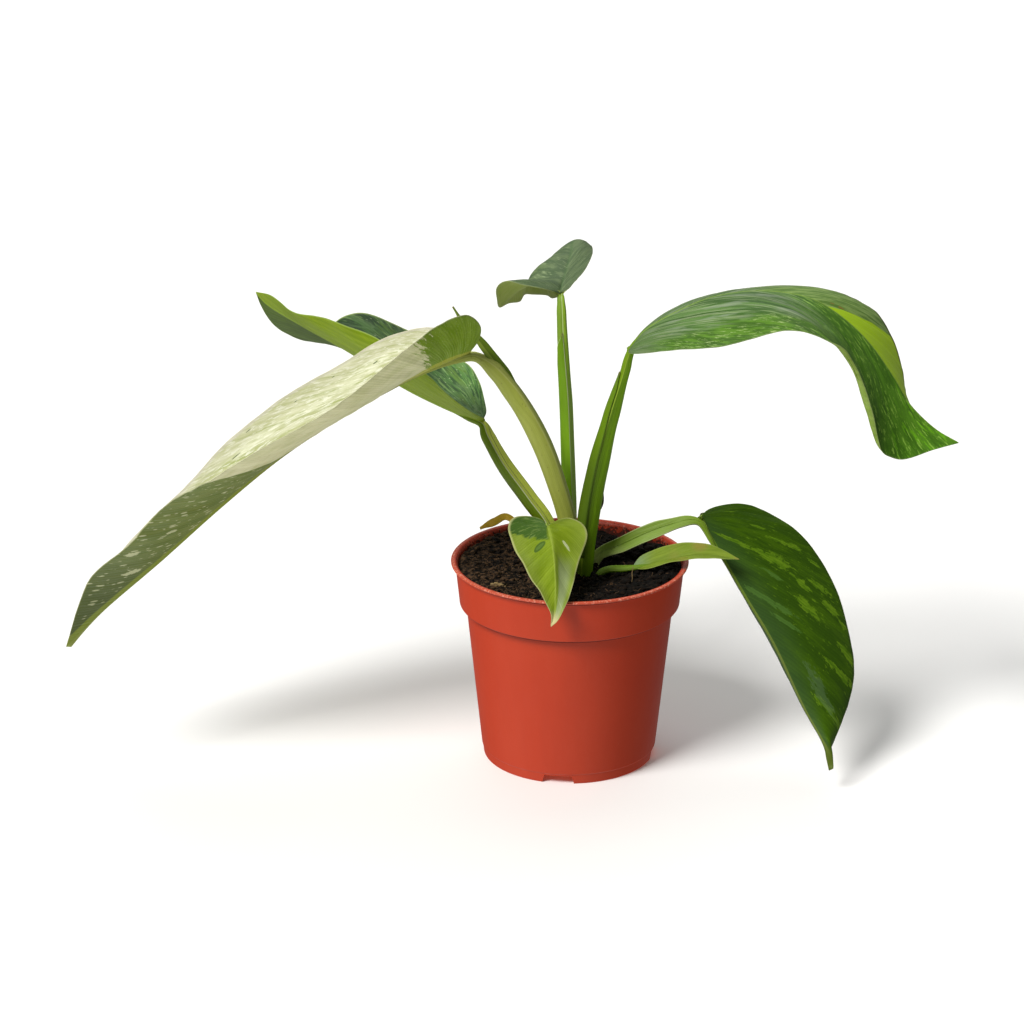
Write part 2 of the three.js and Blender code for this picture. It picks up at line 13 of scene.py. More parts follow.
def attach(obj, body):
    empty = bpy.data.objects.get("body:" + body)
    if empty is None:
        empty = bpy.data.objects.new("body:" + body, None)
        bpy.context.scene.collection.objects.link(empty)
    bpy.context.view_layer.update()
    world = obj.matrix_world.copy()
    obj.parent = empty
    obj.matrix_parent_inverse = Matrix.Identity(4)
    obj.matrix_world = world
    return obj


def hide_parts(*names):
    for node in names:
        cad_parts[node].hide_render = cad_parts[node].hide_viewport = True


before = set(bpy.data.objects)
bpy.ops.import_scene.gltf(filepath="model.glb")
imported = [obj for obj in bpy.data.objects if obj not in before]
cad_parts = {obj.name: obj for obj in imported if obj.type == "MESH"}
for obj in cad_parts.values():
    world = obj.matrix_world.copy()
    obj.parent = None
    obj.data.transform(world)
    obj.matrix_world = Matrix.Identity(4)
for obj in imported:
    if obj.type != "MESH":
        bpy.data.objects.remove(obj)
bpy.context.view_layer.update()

# The camera looks down on the pot from the front, from far enough away to flatten it.
MM = 0.001
TILT = math.radians(20.4)
EYE_DISTANCE = 1.495
LENS = 119.7
AIM = (-25.5, 0, 113.5)  # the middle of the picture, in millimetres
eye = bpy.data.objects.new("eye", bpy.data.cameras.new("eye"))
eye.data.lens = LENS
eye.data.sensor_width = 36
eye.location = Vector(AIM) * MM + EYE_DISTANCE * Vector((0, -math.cos(TILT), math.sin(TILT)))
eye.rotation_euler = (math.radians(90) - TILT, 0, 0)
bpy.context.scene.collection.objects.link(eye)
bpy.context.scene.camera = eye
bpy.context.scene.view_settings.view_transform = "Standard"

# Nursery pot. One thin wall of injection-moulded polypropylene, terracotta coloured, with
# a turned-out lip, a collar for stacking, a foot ring with four notches and drain holes.
POT_PROFILE = [
    (0, 0, 0), (9, 0, 0.3), (10, 4.2, 0.4), (36, 4.2, 0.4), (36, 0, 0.3), (38.1, 0, 0.5),
    (38.6, 4.4, 0.15), (38.95, 4.75, 0.3), (45.8, 70.8, 0.2), (46.1, 71.3, 0.2),
    (48.0, 71.3, 0.3), (48.7, 72.0, 0.3), (50.5, 89.2, 0.3), (50.8, 90.3, 0.2),
    (52.1, 90.4, 0.2), (52.5, 90.8, 0.25), (52.4, 91.3, 0.25), (51.7, 91.5, 0.3),
    (50.4, 91.5, 0.6), (49.4, 90.2, 0.6), (47.2, 72.4, 1.2), (44.4, 69.8, 1.2),
    (37.1, 5.8, 1.5), (0, 5.8, 0),
]  # radius, height, rounding
POT_SIDES = 192
SHARP = 38  # degrees; edges sharper than this stay sharp
NOTCH = (13.4, 3.8)  # width at half height, height
NOTCH_FLARE = 0.6  # how much wider it is at the foot, and narrower at its top, each side
NOTCH_CUT = (33.5, 43)  # from and to radius
NOTCH_TURNS = (-98, -8, 82, 172)
DRAIN = (3.2, 26)  # radius, distance from the middle
DRAIN_CUT = (-2, 9)  # from and to height
DRAIN_SIDES = 40
DRAIN_TURNS = tuple(26 + 45 * i for i in range(8))


def rounded(corners, steps=6):
    """The corners (across, up, rounding) joined up, with each corner rounded off."""
    line = []
    for i, (x, y, reach) in enumerate(corners):
        here = Vector((x, y))
        if reach == 0 or i in (0, len(corners) - 1):
            line.append(here)
            continue
        back = Vector(corners[i - 1][:2]) - here
        ahead = Vector(corners[i + 1][:2]) - here
        start = here + back.normalized() * min(reach, back.length / 2)
        end = here + ahead.normalized() * min(reach, ahead.length / 2)
        for k in range(steps + 1):
            f = k / steps
            line.append(start * (1 - f) ** 2 + here * 2 * f * (1 - f) + end * f * f)
    return line


def skin(rings, start, end):
    """The faces over rings of points, each closed on itself, from one end point to the other."""
    count, sides = rings
    faces = [(start, (k + 1) % sides, k) for k in range(sides)]
    for i in range(count - 1):
        row = i * sides
        for k in range(sides):
            n = (k + 1) % sides
            faces.append((row + k, row + n, row + sides + n, row + sides + k))
    last = (count - 1) * sides
    faces += [(end, last + k, last + (k + 1) % sides) for k in range(sides)]
    return faces


def piece(name, points, faces, finish, smooth=True):
    """One piece from its points in millimetres; it rides on the one body, the root."""
    mesh = bpy.data.meshes.new(name)
    mesh.from_pydata((np.asarray(points) * MM).tolist(), [], faces)
    mesh.validate()
    if smooth:
        mesh.shade_smooth()
    mesh.materials.append(finish)
    made = bpy.data.objects.new(name, mesh)
    bpy.context.scene.collection.objects.link(made)
    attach(made, "root")
    return made


def circle(radius, height, sides, middle=(0, 0)):
    """Points evenly round an upright axis."""
    turns = [2 * math.pi * k / sides for k in range(sides)]
    return [(middle[0] + radius * math.cos(a), middle[1] + radius * math.sin(a), height)
            for a in turns]


def turned(profile, sides):
    """Points and faces of a profile that starts and ends on the axis, turned about it."""
    line = profile[1:-1]
    points = [point for x, z in line for point in circle(x, z, sides)]
    points += [(0, 0, profile[0][1]), (0, 0, profile[-1][1])]
    return points, skin((len(line), sides), len(points) - 2, len(points) - 1)


def cut(piece_to_cut, cutters):
    """Takes the cutters' shapes out of a piece and removes them."""
    for cutter in cutters:
        step = piece_to_cut.modifiers.new("cut", "BOOLEAN")
        step.operation = "DIFFERENCE"
        step.solver = "EXACT"
        step.object = cutter
    bpy.context.view_layer.update()
    seen = piece_to_cut.evaluated_get(bpy.context.evaluated_depsgraph_get())
    result = bpy.data.meshes.new_from_object(seen)
    piece_to_cut.modifiers.clear()
    piece_to_cut.data = result
    for cutter in cutters:
        bpy.data.objects.remove(cutter)


def colour(code):
    """Linear colour from six hex digits."""
    parts = [int(code[i:i + 2], 16) / 255 for i in (0, 2, 4)]
    return (*[p / 12.92 if p <= 0.04045 else ((p + 0.055) / 1.055) ** 2.4 for p in parts], 1)


class Signal:
    """A value in a material, which can be reckoned with like a number."""

    def __init__(self, finish, socket):
        self.finish = finish
        self.socket = socket

    def reckon(self, operation, first, second=0.0):
        return self.finish.node("ShaderNodeMath", {"operation": operation},
                                {0: first, 1: second})

    def __add__(self, other):
        return self.reckon("ADD", self, other)

    def __sub__(self, other):
        return self.reckon("SUBTRACT", self, other)

    def __rsub__(self, other):
        return self.reckon("SUBTRACT", other, self)

    def __mul__(self, other):
        return self.reckon("MULTIPLY", self, other)

    def __pow__(self, other):
        return self.reckon("POWER", self, other)

    def __abs__(self):
        return self.reckon("ABSOLUTE", self)

    __radd__ = __add__
    __rmul__ = __mul__

    def least(self, other):
        return self.reckon("MINIMUM", self, other)

    def most(self, other):
        return self.reckon("MAXIMUM", self, other)

    def from_line(self):
        """How far the value is from the nearest whole number, 0 to 0.5."""
        return self.reckon("PINGPONG", self, 0.5)

    def rise(self, low, high):
        """0 below low, 1 above high and smooth between; low may be the larger one."""
        return self.finish.node("ShaderNodeMapRange", {"interpolation_type": "SMOOTHSTEP"},
                                {"Value": self, "From Min": low, "From Max": high})

    def parts(self):
        return [self.finish.node("ShaderNodeSeparateXYZ", {}, {0: self}, k) for k in range(3)]


class Finish:
    """A material that is being put together."""

    def __init__(self, name):
        self.material = bpy.data.materials.new(name)
        self.material.use_nodes = True
        self.tree = self.material.node_tree
        self.tree.nodes.clear()

    def node(self, kind, settings, inputs, output=0):
        """One node. A value is a number, a vector, a Signal or six hex digits of a colour."""
        made = self.tree.nodes.new(kind)
        for name, value in settings.items():
            setattr(made, name, value)
        for name, value in inputs.items():
            if isinstance(value, Signal):
                self.tree.links.new(value.socket, made.inputs[name])
            else:
                made.inputs[name].default_value = colour(value) if isinstance(value, str) else value
        return Signal(self, made.outputs[output]) if made.outputs else None

    def mix(self, mask, below, above):
        """One colour over another where the mask is 1."""
        return self.node("ShaderNodeMix", {"data_type": "RGBA"}, {0: mask, 6: below, 7: above}, 2)

    def coats(self, base, *coats):
        """A colour with further (mask, colour) coats laid over it, one after the other."""
        for mask, tone in coats:
            base = self.mix(mask, base, tone)
        return base

    def shade(self, tone, amount):
        """A colour made darker or lighter by a value round 1."""
        grey = self.node("ShaderNodeCombineXYZ", {}, {0: amount, 1: amount, 2: amount})
        return self.node("ShaderNodeVectorMath", {"operation": "MULTIPLY"}, {0: tone, 1: grey})

    def where(self):
        """Place on the piece in millimetres."""
        spot = self.node("ShaderNodeTexCoord", {}, {}, "Object")
        return self.node("ShaderNodeVectorMath", {"operation": "SCALE"}, {0: spot, "Scale": 1000.0})

    def tag(self, name):
        """Three numbers that a piece keeps for each of its points."""
        return self.node("ShaderNodeAttribute", {"attribute_name": name}, {}, "Vector")

    def scaled(self, spot, size, stretch, shift):
        """A place counted in features of that size, stretched along the axes."""
        return self.node("ShaderNodeMapping", {}, {
            "Vector": spot, "Location": (shift, shift * 0.7, shift * 1.3),
            "Scale": tuple(1 / (size * k) for k in stretch)})

    def grain(self, spot, size, detail=2.0, rough=0.5, stretch=(1, 1, 1), shift=0.0):
        """Noise from 0 to 1 with features of that size."""
        return self.node("ShaderNodeTexNoise", {}, {
            "Vector": self.scaled(spot, size, stretch, shift), "Scale": 1.0,
            "Detail": detail, "Roughness": rough}, "Fac")

    def spots(self, spot, size, shift, stretch=(1, 1, 1), flat=False):
        """Distance to the nearest of many scattered points, in their usual spacing."""
        return self.node("ShaderNodeTexVoronoi", {"voronoi_dimensions": "2D" if flat else "3D"}, {
            "Vector": self.scaled(spot, size, stretch, shift), "Scale": 1.0}, "Distance")

    def close(self, base, roughness, gleam, relief=None, depth=0.0):
        """The finished material; the relief's values count in steps of depth, in metres."""
        inputs = {"Base Color": base, "Roughness": roughness, "Specular IOR Level": gleam}
        if relief is not None:
            bump = {"Distance": depth, "Height": relief}
            inputs["Normal"] = self.node("ShaderNodeBump", {}, bump)
        surface = self.node("ShaderNodeBsdfPrincipled", {}, inputs)
        self.node("ShaderNodeOutputMaterial", {}, {"Surface": surface})
        return self.material


def pot_plastic():
    f = Finish("pot_plastic")
    spot = f.where()
    x, y, z = spot.parts()
    out = (x * x + y * y) ** 0.5
    # flow marks of the mould, long and faint, and a few paler rubbed places
    flow = f.grain(spot, 5, 3.0, 0.6, (1, 1, 9))
    rub = f.grain(spot, 2.2, 4.0, 0.7, (1, 1, 3), 7).rise(0.66, 0.8) * 0.2
    # the paler edge of the lip, partly wear and partly a painted highlight, and painted shade in
    # the corners under the lip and the collar
    wear_and_glints = f.grain(spot, 1.1, 4.0, 0.7).rise(0.5, 0.64)
    edge = out.rise(50.6, 51.4) * z.rise(90.3, 90.9)
    under_collar = (out - 48.7).rise(0.1, -0.2) * out.rise(45, 45.4) * abs(z - 71.1).rise(1.0, 0.6)
    under_lip = (out - 50.9).rise(0.4, 0.0) * abs(z - 89.8).rise(0.5, 0.1) * out.rise(50.2, 50.4)
    painted_shade_under_rims = (under_collar + under_lip).least(1)
    # inside it is darker all over, with pale flecks near the top that are painted glints; peat dust
    # and crumbs stick to it, more of them lower down, and some on the lip
    inside = (out - z * 0.115).rise(39.8, 39.4) * z.rise(74, 76)
    inner_glints = inside * z.rise(84, 88) * wear_and_glints * f.grain(spot, 9, 2.0).rise(0.4, 0.6)
    damp = inside * (f.grain(spot, 1.6, 4.0, 0.65, (1, 1, 1), 3) - z * 0.04).rise(-3.10, -3.02)
    dusty = f.grain(spot, 0.8, 3.0, 0.6, (1, 1, 1), 11).rise(0.62, 0.68) * z.rise(89.5, 91.0) \
        * out.rise(51.4, 50.4)
    base = f.coats(
        f.shade(f.mix(f.grain(spot, 34, 2.0), "b43009", "ba3810"), 0.95 + flow * 0.09),
        (rub, "d46a48"),
        (edge * (wear_and_glints * 0.6 + 0.1), "eba58c"),
        (painted_shade_under_rims * 0.8, "4a140a"),
        (inner_glints * 0.6, "d9a08c"),
        (inside * 0.4, "8a2a18"),
        (damp * 0.85, "1c110b"),
        (dusty * 0.75, "2c1a12"))
    peel = f.grain(spot, 0.7, 2.0) * 0.5 + f.grain(spot, 4.0, 2.0) * 0.8
    rough = 0.42 + f.grain(spot, 6.0, 4.0, 0.6, (1, 1, 3), 5) * 0.16 + damp * 0.3 + painted_shade_under_rims * 0.45
    return f.close(base, rough, 0.3, peel, 0.00006)


plastic = pot_plastic()
pot = piece("nursery_pot", *turned(rounded(POT_PROFILE), POT_SIDES), plastic)
cutters = []
for turn in NOTCH_TURNS:
    a = math.radians(turn)
    corners = []
    for radius in NOTCH_CUT:
        for side, height in ((-1, -1), (1, -1), (1, NOTCH[1]), (-1, NOTCH[1])):
            half = side * (NOTCH[0] / 2 + (NOTCH_FLARE if height < 0 else -NOTCH_FLARE))
            corners.append((radius * math.cos(a) - half * math.sin(a),
                            radius * math.sin(a) + half * math.cos(a), height))
    box_faces = [(3, 2, 1, 0), (4, 5, 6, 7), (0, 1, 5, 4), (1, 2, 6, 5), (2, 3, 7, 6), (3, 0, 4, 7)]
    cutters.append(piece("notch", corners, box_faces, plastic, False))
for turn in DRAIN_TURNS:
    a = math.radians(turn)
    middle = (DRAIN[1] * math.cos(a), DRAIN[1] * math.sin(a))
    rod = [point for z in DRAIN_CUT for point in circle(DRAIN[0], z, DRAIN_SIDES, middle)]
    rod += [(*middle, z) for z in DRAIN_CUT]
    rod_faces = skin((2, DRAIN_SIDES), len(rod) - 2, len(rod) - 1)
    cutters.append(piece("drain", rod, rod_faces, plastic, False))
cut(pot, cutters)
pot.data.shade_smooth()
edges = pot.modifiers.new("edges", "EDGE_SPLIT")
edges.split_angle = math.radians(SHARP)
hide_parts("pot")

# Peat. Dark, moist, lumpy peat fills the pot to a few millimetres under the lip, with
# loose crumbs, brown fibres, a broken bit of bark and a pale root thread lying on it.
random.seed(4)
SOIL_PROFILE = [(0, 6.2), (36.4, 6.2), (43.6, 68.9), (46.4, 72.8), (47.9, 84.6)]
SOIL_RADIUS = 48.9
SOIL_LEVEL = 86.3
SOIL_RINGS, SOIL_TURNS = 110, 300
HEAP = (25, 14)  # a loose heap to the right of the stalks
HEAP_HEIGHT, HEAP_SPREAD = 3.4, 110
HOLLOW = (27, 38)  # a hollow at the back on the right
HOLLOW_DEPTH, HOLLOW_SPREAD = 3.6, 420
BRIM = 3.4  # how much higher it stands near the wall than in the middle


def soil_height(x, y):
    """Height of the peat's surface in millimetres."""
    r = math.hypot(x, y)
    spot = Vector((x, y, 0))
    lumps = noise.noise(spot * 0.11) * 1.3 + noise.noise(spot * 0.3 + Vector((9, 2, 0))) * 2.0
    crumbly = noise.noise(spot * 0.62) * 1.6 + noise.noise(spot * 2.1 + Vector((0, 5, 1))) * 0.5
    heap = HEAP_HEIGHT * math.exp(-math.dist((x, y), HEAP) ** 2 / HEAP_SPREAD)
    # it rises towards the wall, where it stands almost up to the lip
    brim = BRIM * min(1.0, max(0.0, (r - 20) / 22))
    hollow = -HOLLOW_DEPTH * math.exp(-math.dist((x, y), HOLLOW) ** 2 / HOLLOW_SPREAD)
    edge = -0.9 * max(0.0, (r - 46.5) / 2.4)
    return SOIL_LEVEL + lumps * (1 - r / 90) + crumbly * (1 - r / 110) + heap + brim + hollow + edge


soil_points = []
for ring in range(1, SOIL_RINGS + 1):
    r = SOIL_RADIUS * (ring / SOIL_RINGS) ** 0.85
    soil_points += [(x, y, soil_height(x, y)) for x, y, _ in circle(r, 0, SOIL_TURNS)]
for r, z in reversed(SOIL_PROFILE[1:]):
    soil_points += circle(r, z, SOIL_TURNS)
soil_points += [(0, 0, soil_height(0, 0)), (0, 0, SOIL_PROFILE[0][1])]
soil_faces = skin((SOIL_RINGS + len(SOIL_PROFILE) - 1, SOIL_TURNS),
                  len(soil_points) - 2, len(soil_points) - 1)


def peat_finish():
    f = Finish("peat")
    spot = f.where()
    # moist and nearly black on the right, drier and browner on the left
    dry = (spot.parts()[0] + f.grain(spot, 12, 2.0) * 30).rise(24, -2)
    clod = f.grain(spot, 1.8, 4.0, 0.7, (1.8, 0.8, 1)).rise(0.46, 0.62) * (dry * 0.86 + 0.14)
    # brown threads of moss in every direction, thin and short, and a few pale grains
    moss = [(f.grain(spot, 0.7, 2.0, 0.6, stretch, shift).rise(0.62, 0.7) * (dry * 0.6 + 0.2), tone)
            for stretch, shift, tone in (((5, 0.6, 0.6), 3, "544030"),
                                         ((0.6, 5, 0.6), 8, "3e2e20"), ((3, 3, 0.7), 13, "3e2e20"))]
    pale = f.grain(spot, 0.6, 2.0, 0.5, (1, 1, 1), 31).rise(0.76, 0.8)
    base = f.coats(f.mix(clod, "050403", "543f2c"), *moss, (pale, "7a6448"))
    relief = f.grain(spot, 0.5, 4.0, 0.7) + f.grain(spot, 2.5, 3.0, 0.6)
    return f.close(base, 0.8 + f.grain(spot, 1.5, 2.0) * 0.2, 0.15, relief, 0.0006)


peat = peat_finish()
soil = piece("peat_fill", soil_points, soil_faces, peat)
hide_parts("soil")


def crumb(centre, size, squash):
    """One irregular crumb as points and faces."""
    ball = bmesh.new()
    bmesh.ops.create_icosphere(ball, subdivisions=2, radius=1.0)
    shift = Vector([random.uniform(-50, 50) for _ in range(3)])
    turn = random.uniform(0, math.pi)
    points = []
    for v in ball.verts:
        bump = 1 + 0.5 * noise.noise(v.co * 1.1 + shift) + 0.22 * noise.noise(v.co * 2.9 + shift)
        p = v.co * bump
        x = p.x * math.cos(turn) - p.y * math.sin(turn)
        y = p.x * math.sin(turn) + p.y * math.cos(turn)
        points.append((centre[0] + size * x * squash, centre[1] + size * y,
                       centre[2] + size * p.z * 0.7))
    faces = [tuple(v.index for v in face.verts) for face in ball.faces]
    ball.free()
    return points, faces


def thread(path, radius, sides=5):
    """A thin strand along a path as points and faces."""
    points = []
    spots = [Vector(p) for p in path]
    for i, spot in enumerate(spots):
        ahead = (spots[min(i + 1, len(spots) - 1)] - spots[max(i - 1, 0)]).normalized()
        side = ahead.cross(Vector((0.3, 0.2, 1))).normalized()
        up = side.cross(ahead)
        r = radius * (1 - 0.6 * abs(2 * i / (len(spots) - 1) - 1) ** 2)
        for k in range(sides):
            a = 2 * math.pi * k / sides
            points.append(spot + side * (r * math.cos(a)) + up * (r * math.sin(a)))
    points += [spots[0], spots[-1]]
    return points, skin((len(spots), sides), len(points) - 2, len(points) - 1)


def gathered(parts):
    """Many small shapes as one list of points and faces."""
    points, faces = [], []
    for some_points, some_faces in parts:
        start = len(points)
        points += some_points
        faces += [tuple(start + i for i in face) for face in some_faces]
    return points, faces


def on_soil(reach):
    """A place on the peat, as likely here as there, up to reach from the middle."""
    r = reach * math.sqrt(random.random())
    a = random.uniform(0, 2 * math.pi)
    return r * math.cos(a), r * math.sin(a)


CRUMBS, HEAP_CRUMBS = 1250, 90
CRUMB_SIZES = (0.4, 0.5, 0.7, 0.9, 1.3)
CRUMB_REACH = 46.8
crumbs = []
for _ in range(CRUMBS):
    x, y = on_soil(CRUMB_REACH)
    size = random.choice(CRUMB_SIZES) * random.uniform(0.7, 1.3)
    crumbs.append(crumb((x, y, soil_height(x, y) + size * 0.25), size, random.uniform(0.7, 1.7)))
for _ in range(HEAP_CRUMBS):
    x, y = random.gauss(HEAP[0], 5.5), random.gauss(HEAP[1], 4)
    size = random.uniform(0.8, 2.0)
    lift = random.uniform(0.2, 2.0)
    crumbs.append(crumb((x, y, soil_height(x, y) + lift), size, random.uniform(0.8, 1.5)))
loose = piece("peat_crumbs", *gathered(crumbs), peat)


def fibre_finish(name, pale, dark):
    f = Finish(name)
    spot = f.where()
    base = f.mix(f.grain(spot, 3.0, 3.0, 0.6).rise(0.35, 0.7), dark, pale)
    relief = f.grain(spot, 0.25, 3.0, 0.7)
    return f.close(base, 0.85 + f.grain(spot, 1.0) * 0.1, 0.25, relief, 0.0001)


FIBRES = 420
FIBRE_POINTS = 8
FIBRE_REACH = 46
strands = []
for _ in range(FIBRES):
    x, y = on_soil(FIBRE_REACH)
    if x > random.uniform(-25, 45):  # fewer on the moist side
        continue
    heading = random.uniform(0, 2 * math.pi)
    curl = random.gauss(0, 0.16)
    length = random.uniform(2, 8)
    path = []
    for step in range(FIBRE_POINTS):
        lift = 0.2 + 0.4 * math.sin(math.pi * step / (FIBRE_POINTS - 1)) * random.random()
        path.append((x, y, soil_height(x, y) + lift))
        x += math.cos(heading) * length / (FIBRE_POINTS - 1)
        y += math.sin(heading) * length / (FIBRE_POINTS - 1)
        heading += curl + random.gauss(0, 0.12)
        if math.hypot(x, y) > FIBRE_REACH:
            break
    if len(path) > 3:
        strands.append(thread(path, random.uniform(0.1, 0.28)))
moss = piece("peat_fibres", *gathered(strands), fibre_finish("fibre_brown", "5c452e", "1b120c"))

ROOT = [(26.6, -20.0, 87.0), (27.0, -19.4, 90.0), (26.8, -19.0, 92.2), (27.3, -18.4, 94.0),
        (27.1, -18.0, 95.0)]
BARK = (-31.5, -28.5)  # near the left front
BARK_CRUMBS = 26
chips = []
for _ in range(BARK_CRUMBS):
    x, y = random.gauss(BARK[0], 1.5), random.gauss(BARK[1], 1.1)
    chips.append(crumb((x, y, soil_height(x, y) + random.uniform(0.2, 1.1)),
                       random.uniform(0.4, 1.0), random.uniform(0.8, 1.8)))
pale_bits = piece("bark_and_root", *gathered([thread(ROOT, 0.22), *chips]),
                  fibre_finish("fibre_pale", "8d7750", "463522"))

# Leaf stalks. Fleshy, smooth and finely ribbed lengthwise, with a channel on the upper
# side; each grows from the peat and runs on into its blade's midrib.
STALK_A = {
    "path": [(3, 4, 74), (2, 3, 90), (-0.6, 1, 109), (-5, -1, 126), (-12.4, -3, 147.6),
             (-23.2, -4, 168), (-34.8, -4, 182.2), (-41, -4, 186.2), (-45.5, -4, 186.2),
             (-61, -5, 181.2), (-82, -7, 171.2)],
    "face": (1, 0, 0.6),
    "width": [(0, 8), (0.25, 8.6), (0.5, 9), (0.66, 7.4), (0.75, 4.6), (0.85, 3.0), (1, 0.8)],
    "depth": [(0, 8.4), (0.2, 9.2), (0.45, 10.2), (0.6, 9.4), (0.67, 7.8), (0.74, 4.4),
              (0.85, 2.8), (1, 0.8)],
    "channel": [(0, 0), (0.3, 0.2), (0.6, 0.25), (0.72, 0)],
    "wing": [(0, 0.05)],
}
STALK_B = {
    "path": [(-5, 10, 74), (-6, 10, 88), (-10, 13, 103), (-18, 16, 114), (-29, 22, 128),
             (-36, 28, 139), (-38.4, 31, 143.4), (-45, 34, 145.6), (-54, 38, 148.2)],
    "face": (1, -0.3, 0.6),
    "width": [(0, 7), (0.2, 9), (0.4, 9.6), (0.6, 10), (0.75, 9), (0.86, 3.6), (1, 0.9)],
    "depth": [(0, 6), (0.2, 7.5), (0.5, 7.4), (0.76, 6.2), (0.86, 3.2), (1, 0.9)],
    "channel": [(0, 0.2), (0.2, 0.5), (0.6, 0.5), (0.75, 0.4), (0.85, 0)],
    "wing": [(0, 0.1), (0.4, 0.15), (0.8, 0.05), (0.86, 0)],
}
STALK_C = {
    "path": [(3, 12, 74), (1.2, 11, 90), (0.4, 11, 115), (-0.5, 11, 138), (-1.5, 10, 162),
             (-3.5, 10, 189), (-4.2, 11, 205), (-4.4, 12.6, 208.6), (-4.2, 16, 209.8)],
    "face": (1, -0.4, 0),
    "width": [(0, 5.5), (0.6, 5.4), (0.8, 4.8), (0.92, 4), (0.965, 3), (1, 0.7)],
    "depth": [(0, 6), (0.3, 6.4), (0.6, 5.8), (0.8, 4.8), (0.92, 4.3), (0.965, 3.4), (1, 0.7)],
    "channel": [(0, 0.2), (0.2, 0.3), (0.6, 0.3), (0.8, 0)],
    "wing": [(0, 0.1), (0.6, 0.15), (0.8, 0)],
}
STALK_D = {
    "path": [(5.5, -5, 74), (6, -5.4, 88), (7.7, -6, 112), (11.6, -6, 135), (17, -5.5, 158),
             (23.4, -5, 181), (24.6, -5, 186), (26.6, -5, 191.2), (32, -5, 197.0),
             (41, -4.4, 202.8)],
    "face": (-1, -0.3, 0.3),
    "width": [(0, 6.5), (0.15, 8), (0.3, 9), (0.45, 8.4), (0.62, 6.4), (0.78, 4.4), (0.88, 3),
              (1, 1.4)],
    "depth": [(0, 7), (0.15, 8.5), (0.3, 10), (0.45, 9.4), (0.62, 7.2), (0.78, 4.6),
              (0.88, 2.8), (1, 1.2)],
    "channel": [(0, 0.1), (0.2, 0.2), (0.75, 0.2), (0.85, 0)],
    "wing": [(0, 0.05), (0.3, 0.12), (0.7, 0.1), (0.8, 0)],
}
STALK_E = {
    "path": [(10, 6, 74), (10.5, 5.6, 86), (13.5, 5, 91.6), (22.9, 3.4, 96.6), (31.7, 2, 101.6),
             (41, 1.2, 105.8), (53, 0.2, 109.4), (57.4, -0.4, 108.4), (61.0, -2.4, 102.8),
             (66, -5.4, 94)],
    "face": (0, -1, 0.8),
    "width": [(0, 5), (0.18, 5), (0.36, 6.6), (0.55, 6.8), (0.68, 5.2), (0.8, 3.2),
              (0.87, 2.2), (1, 0.8)],
    "depth": [(0, 5), (0.2, 4.4), (0.55, 3.6), (0.75, 2.8), (0.87, 2), (1, 0.8)],
    "channel": [(0, 0.2), (0.2, 0.5), (0.6, 0.6), (0.75, 0.2), (0.82, 0)],
    "wing": [(0, 0), (0.2, 0.15), (0.5, 0.25), (0.72, 0.1), (0.8, 0)],
}
STALK_G = {
    "path": [(0, -6, 74), (0, -7, 88), (-2, -12, 100), (-5.6, -19.4, 109), (-8.6, -23.4, 113.6),
             (-9.4, -27, 113.4), (-8.8, -32, 111.0)],
    "face": (0, 1, 1),
    "width": [(0, 4), (0.4, 3.8), (0.7, 2.8), (0.85, 1.8), (1, 0.9)],
    "depth": [(0, 4), (0.4, 3.8), (0.7, 2.8), (0.85, 1.8), (1, 0.8)],
}


class Path:
    """The smooth curve through a few points, read by its share of length."""

    def __init__(self, points):
        p = np.array(points, float)
        p = np.vstack([2 * p[0] - p[1], p, 2 * p[-1] - p[-2]])
        x = np.linspace(0, 1, 60, endpoint=False)[:, None]
        runs = []
        for a, b, c, d in zip(p, p[1:], p[2:], p[3:]):
            k0, k1, k2 = (math.sqrt(np.linalg.norm(v)) for v in (b - a, c - b, d - c))
            start = ((b - a) / k0 - (c - a) / (k0 + k1) + (c - b) / k1) * k1
            end = ((c - b) / k1 - (d - b) / (k1 + k2) + (d - c) / k2) * k1
            runs.append((2 * x**3 - 3 * x**2 + 1) * b + (x**3 - 2 * x**2 + x) * start
                        + (3 * x**2 - 2 * x**3) * c + (x**3 - x**2) * end)
        self.line = np.vstack([*runs, p[-2][None]])
        steps = np.linalg.norm(np.diff(self.line, axis=0), axis=1)
        self.run = np.concatenate([[0], np.cumsum(steps)])
        self.length = self.run[-1]
        self.slope = np.gradient(self.line, axis=0)

    def read(self, table, share):
        where = np.asarray(share) * self.length
        return np.stack([np.interp(where, self.run, table[:, k]) for k in range(3)], -1)

    def at(self, share):
        return self.read(self.line, share)

    def ahead(self, share):
        return unit(self.read(self.slope, share))


def unit(vectors):
    return vectors / np.maximum(np.linalg.norm(vectors, axis=-1, keepdims=True), 1e-9)


def eased(stops, share):
    """A value that runs smoothly through (share, value) stops."""
    x = np.array([s for s, _ in stops])
    y = np.array([v for _, v in stops], float)
    if len(x) == 1:
        return np.full_like(np.asarray(share, float), y[0])
    i = np.clip(np.searchsorted(x, share) - 1, 0, len(x) - 2)
    f = np.clip((share - x[i]) / (x[i + 1] - x[i]), 0, 1)
    f = f * f * (3 - 2 * f)
    return y[i] * (1 - f) + y[i + 1] * f


CORNERS = 6  # of a stalk's outline, on each side


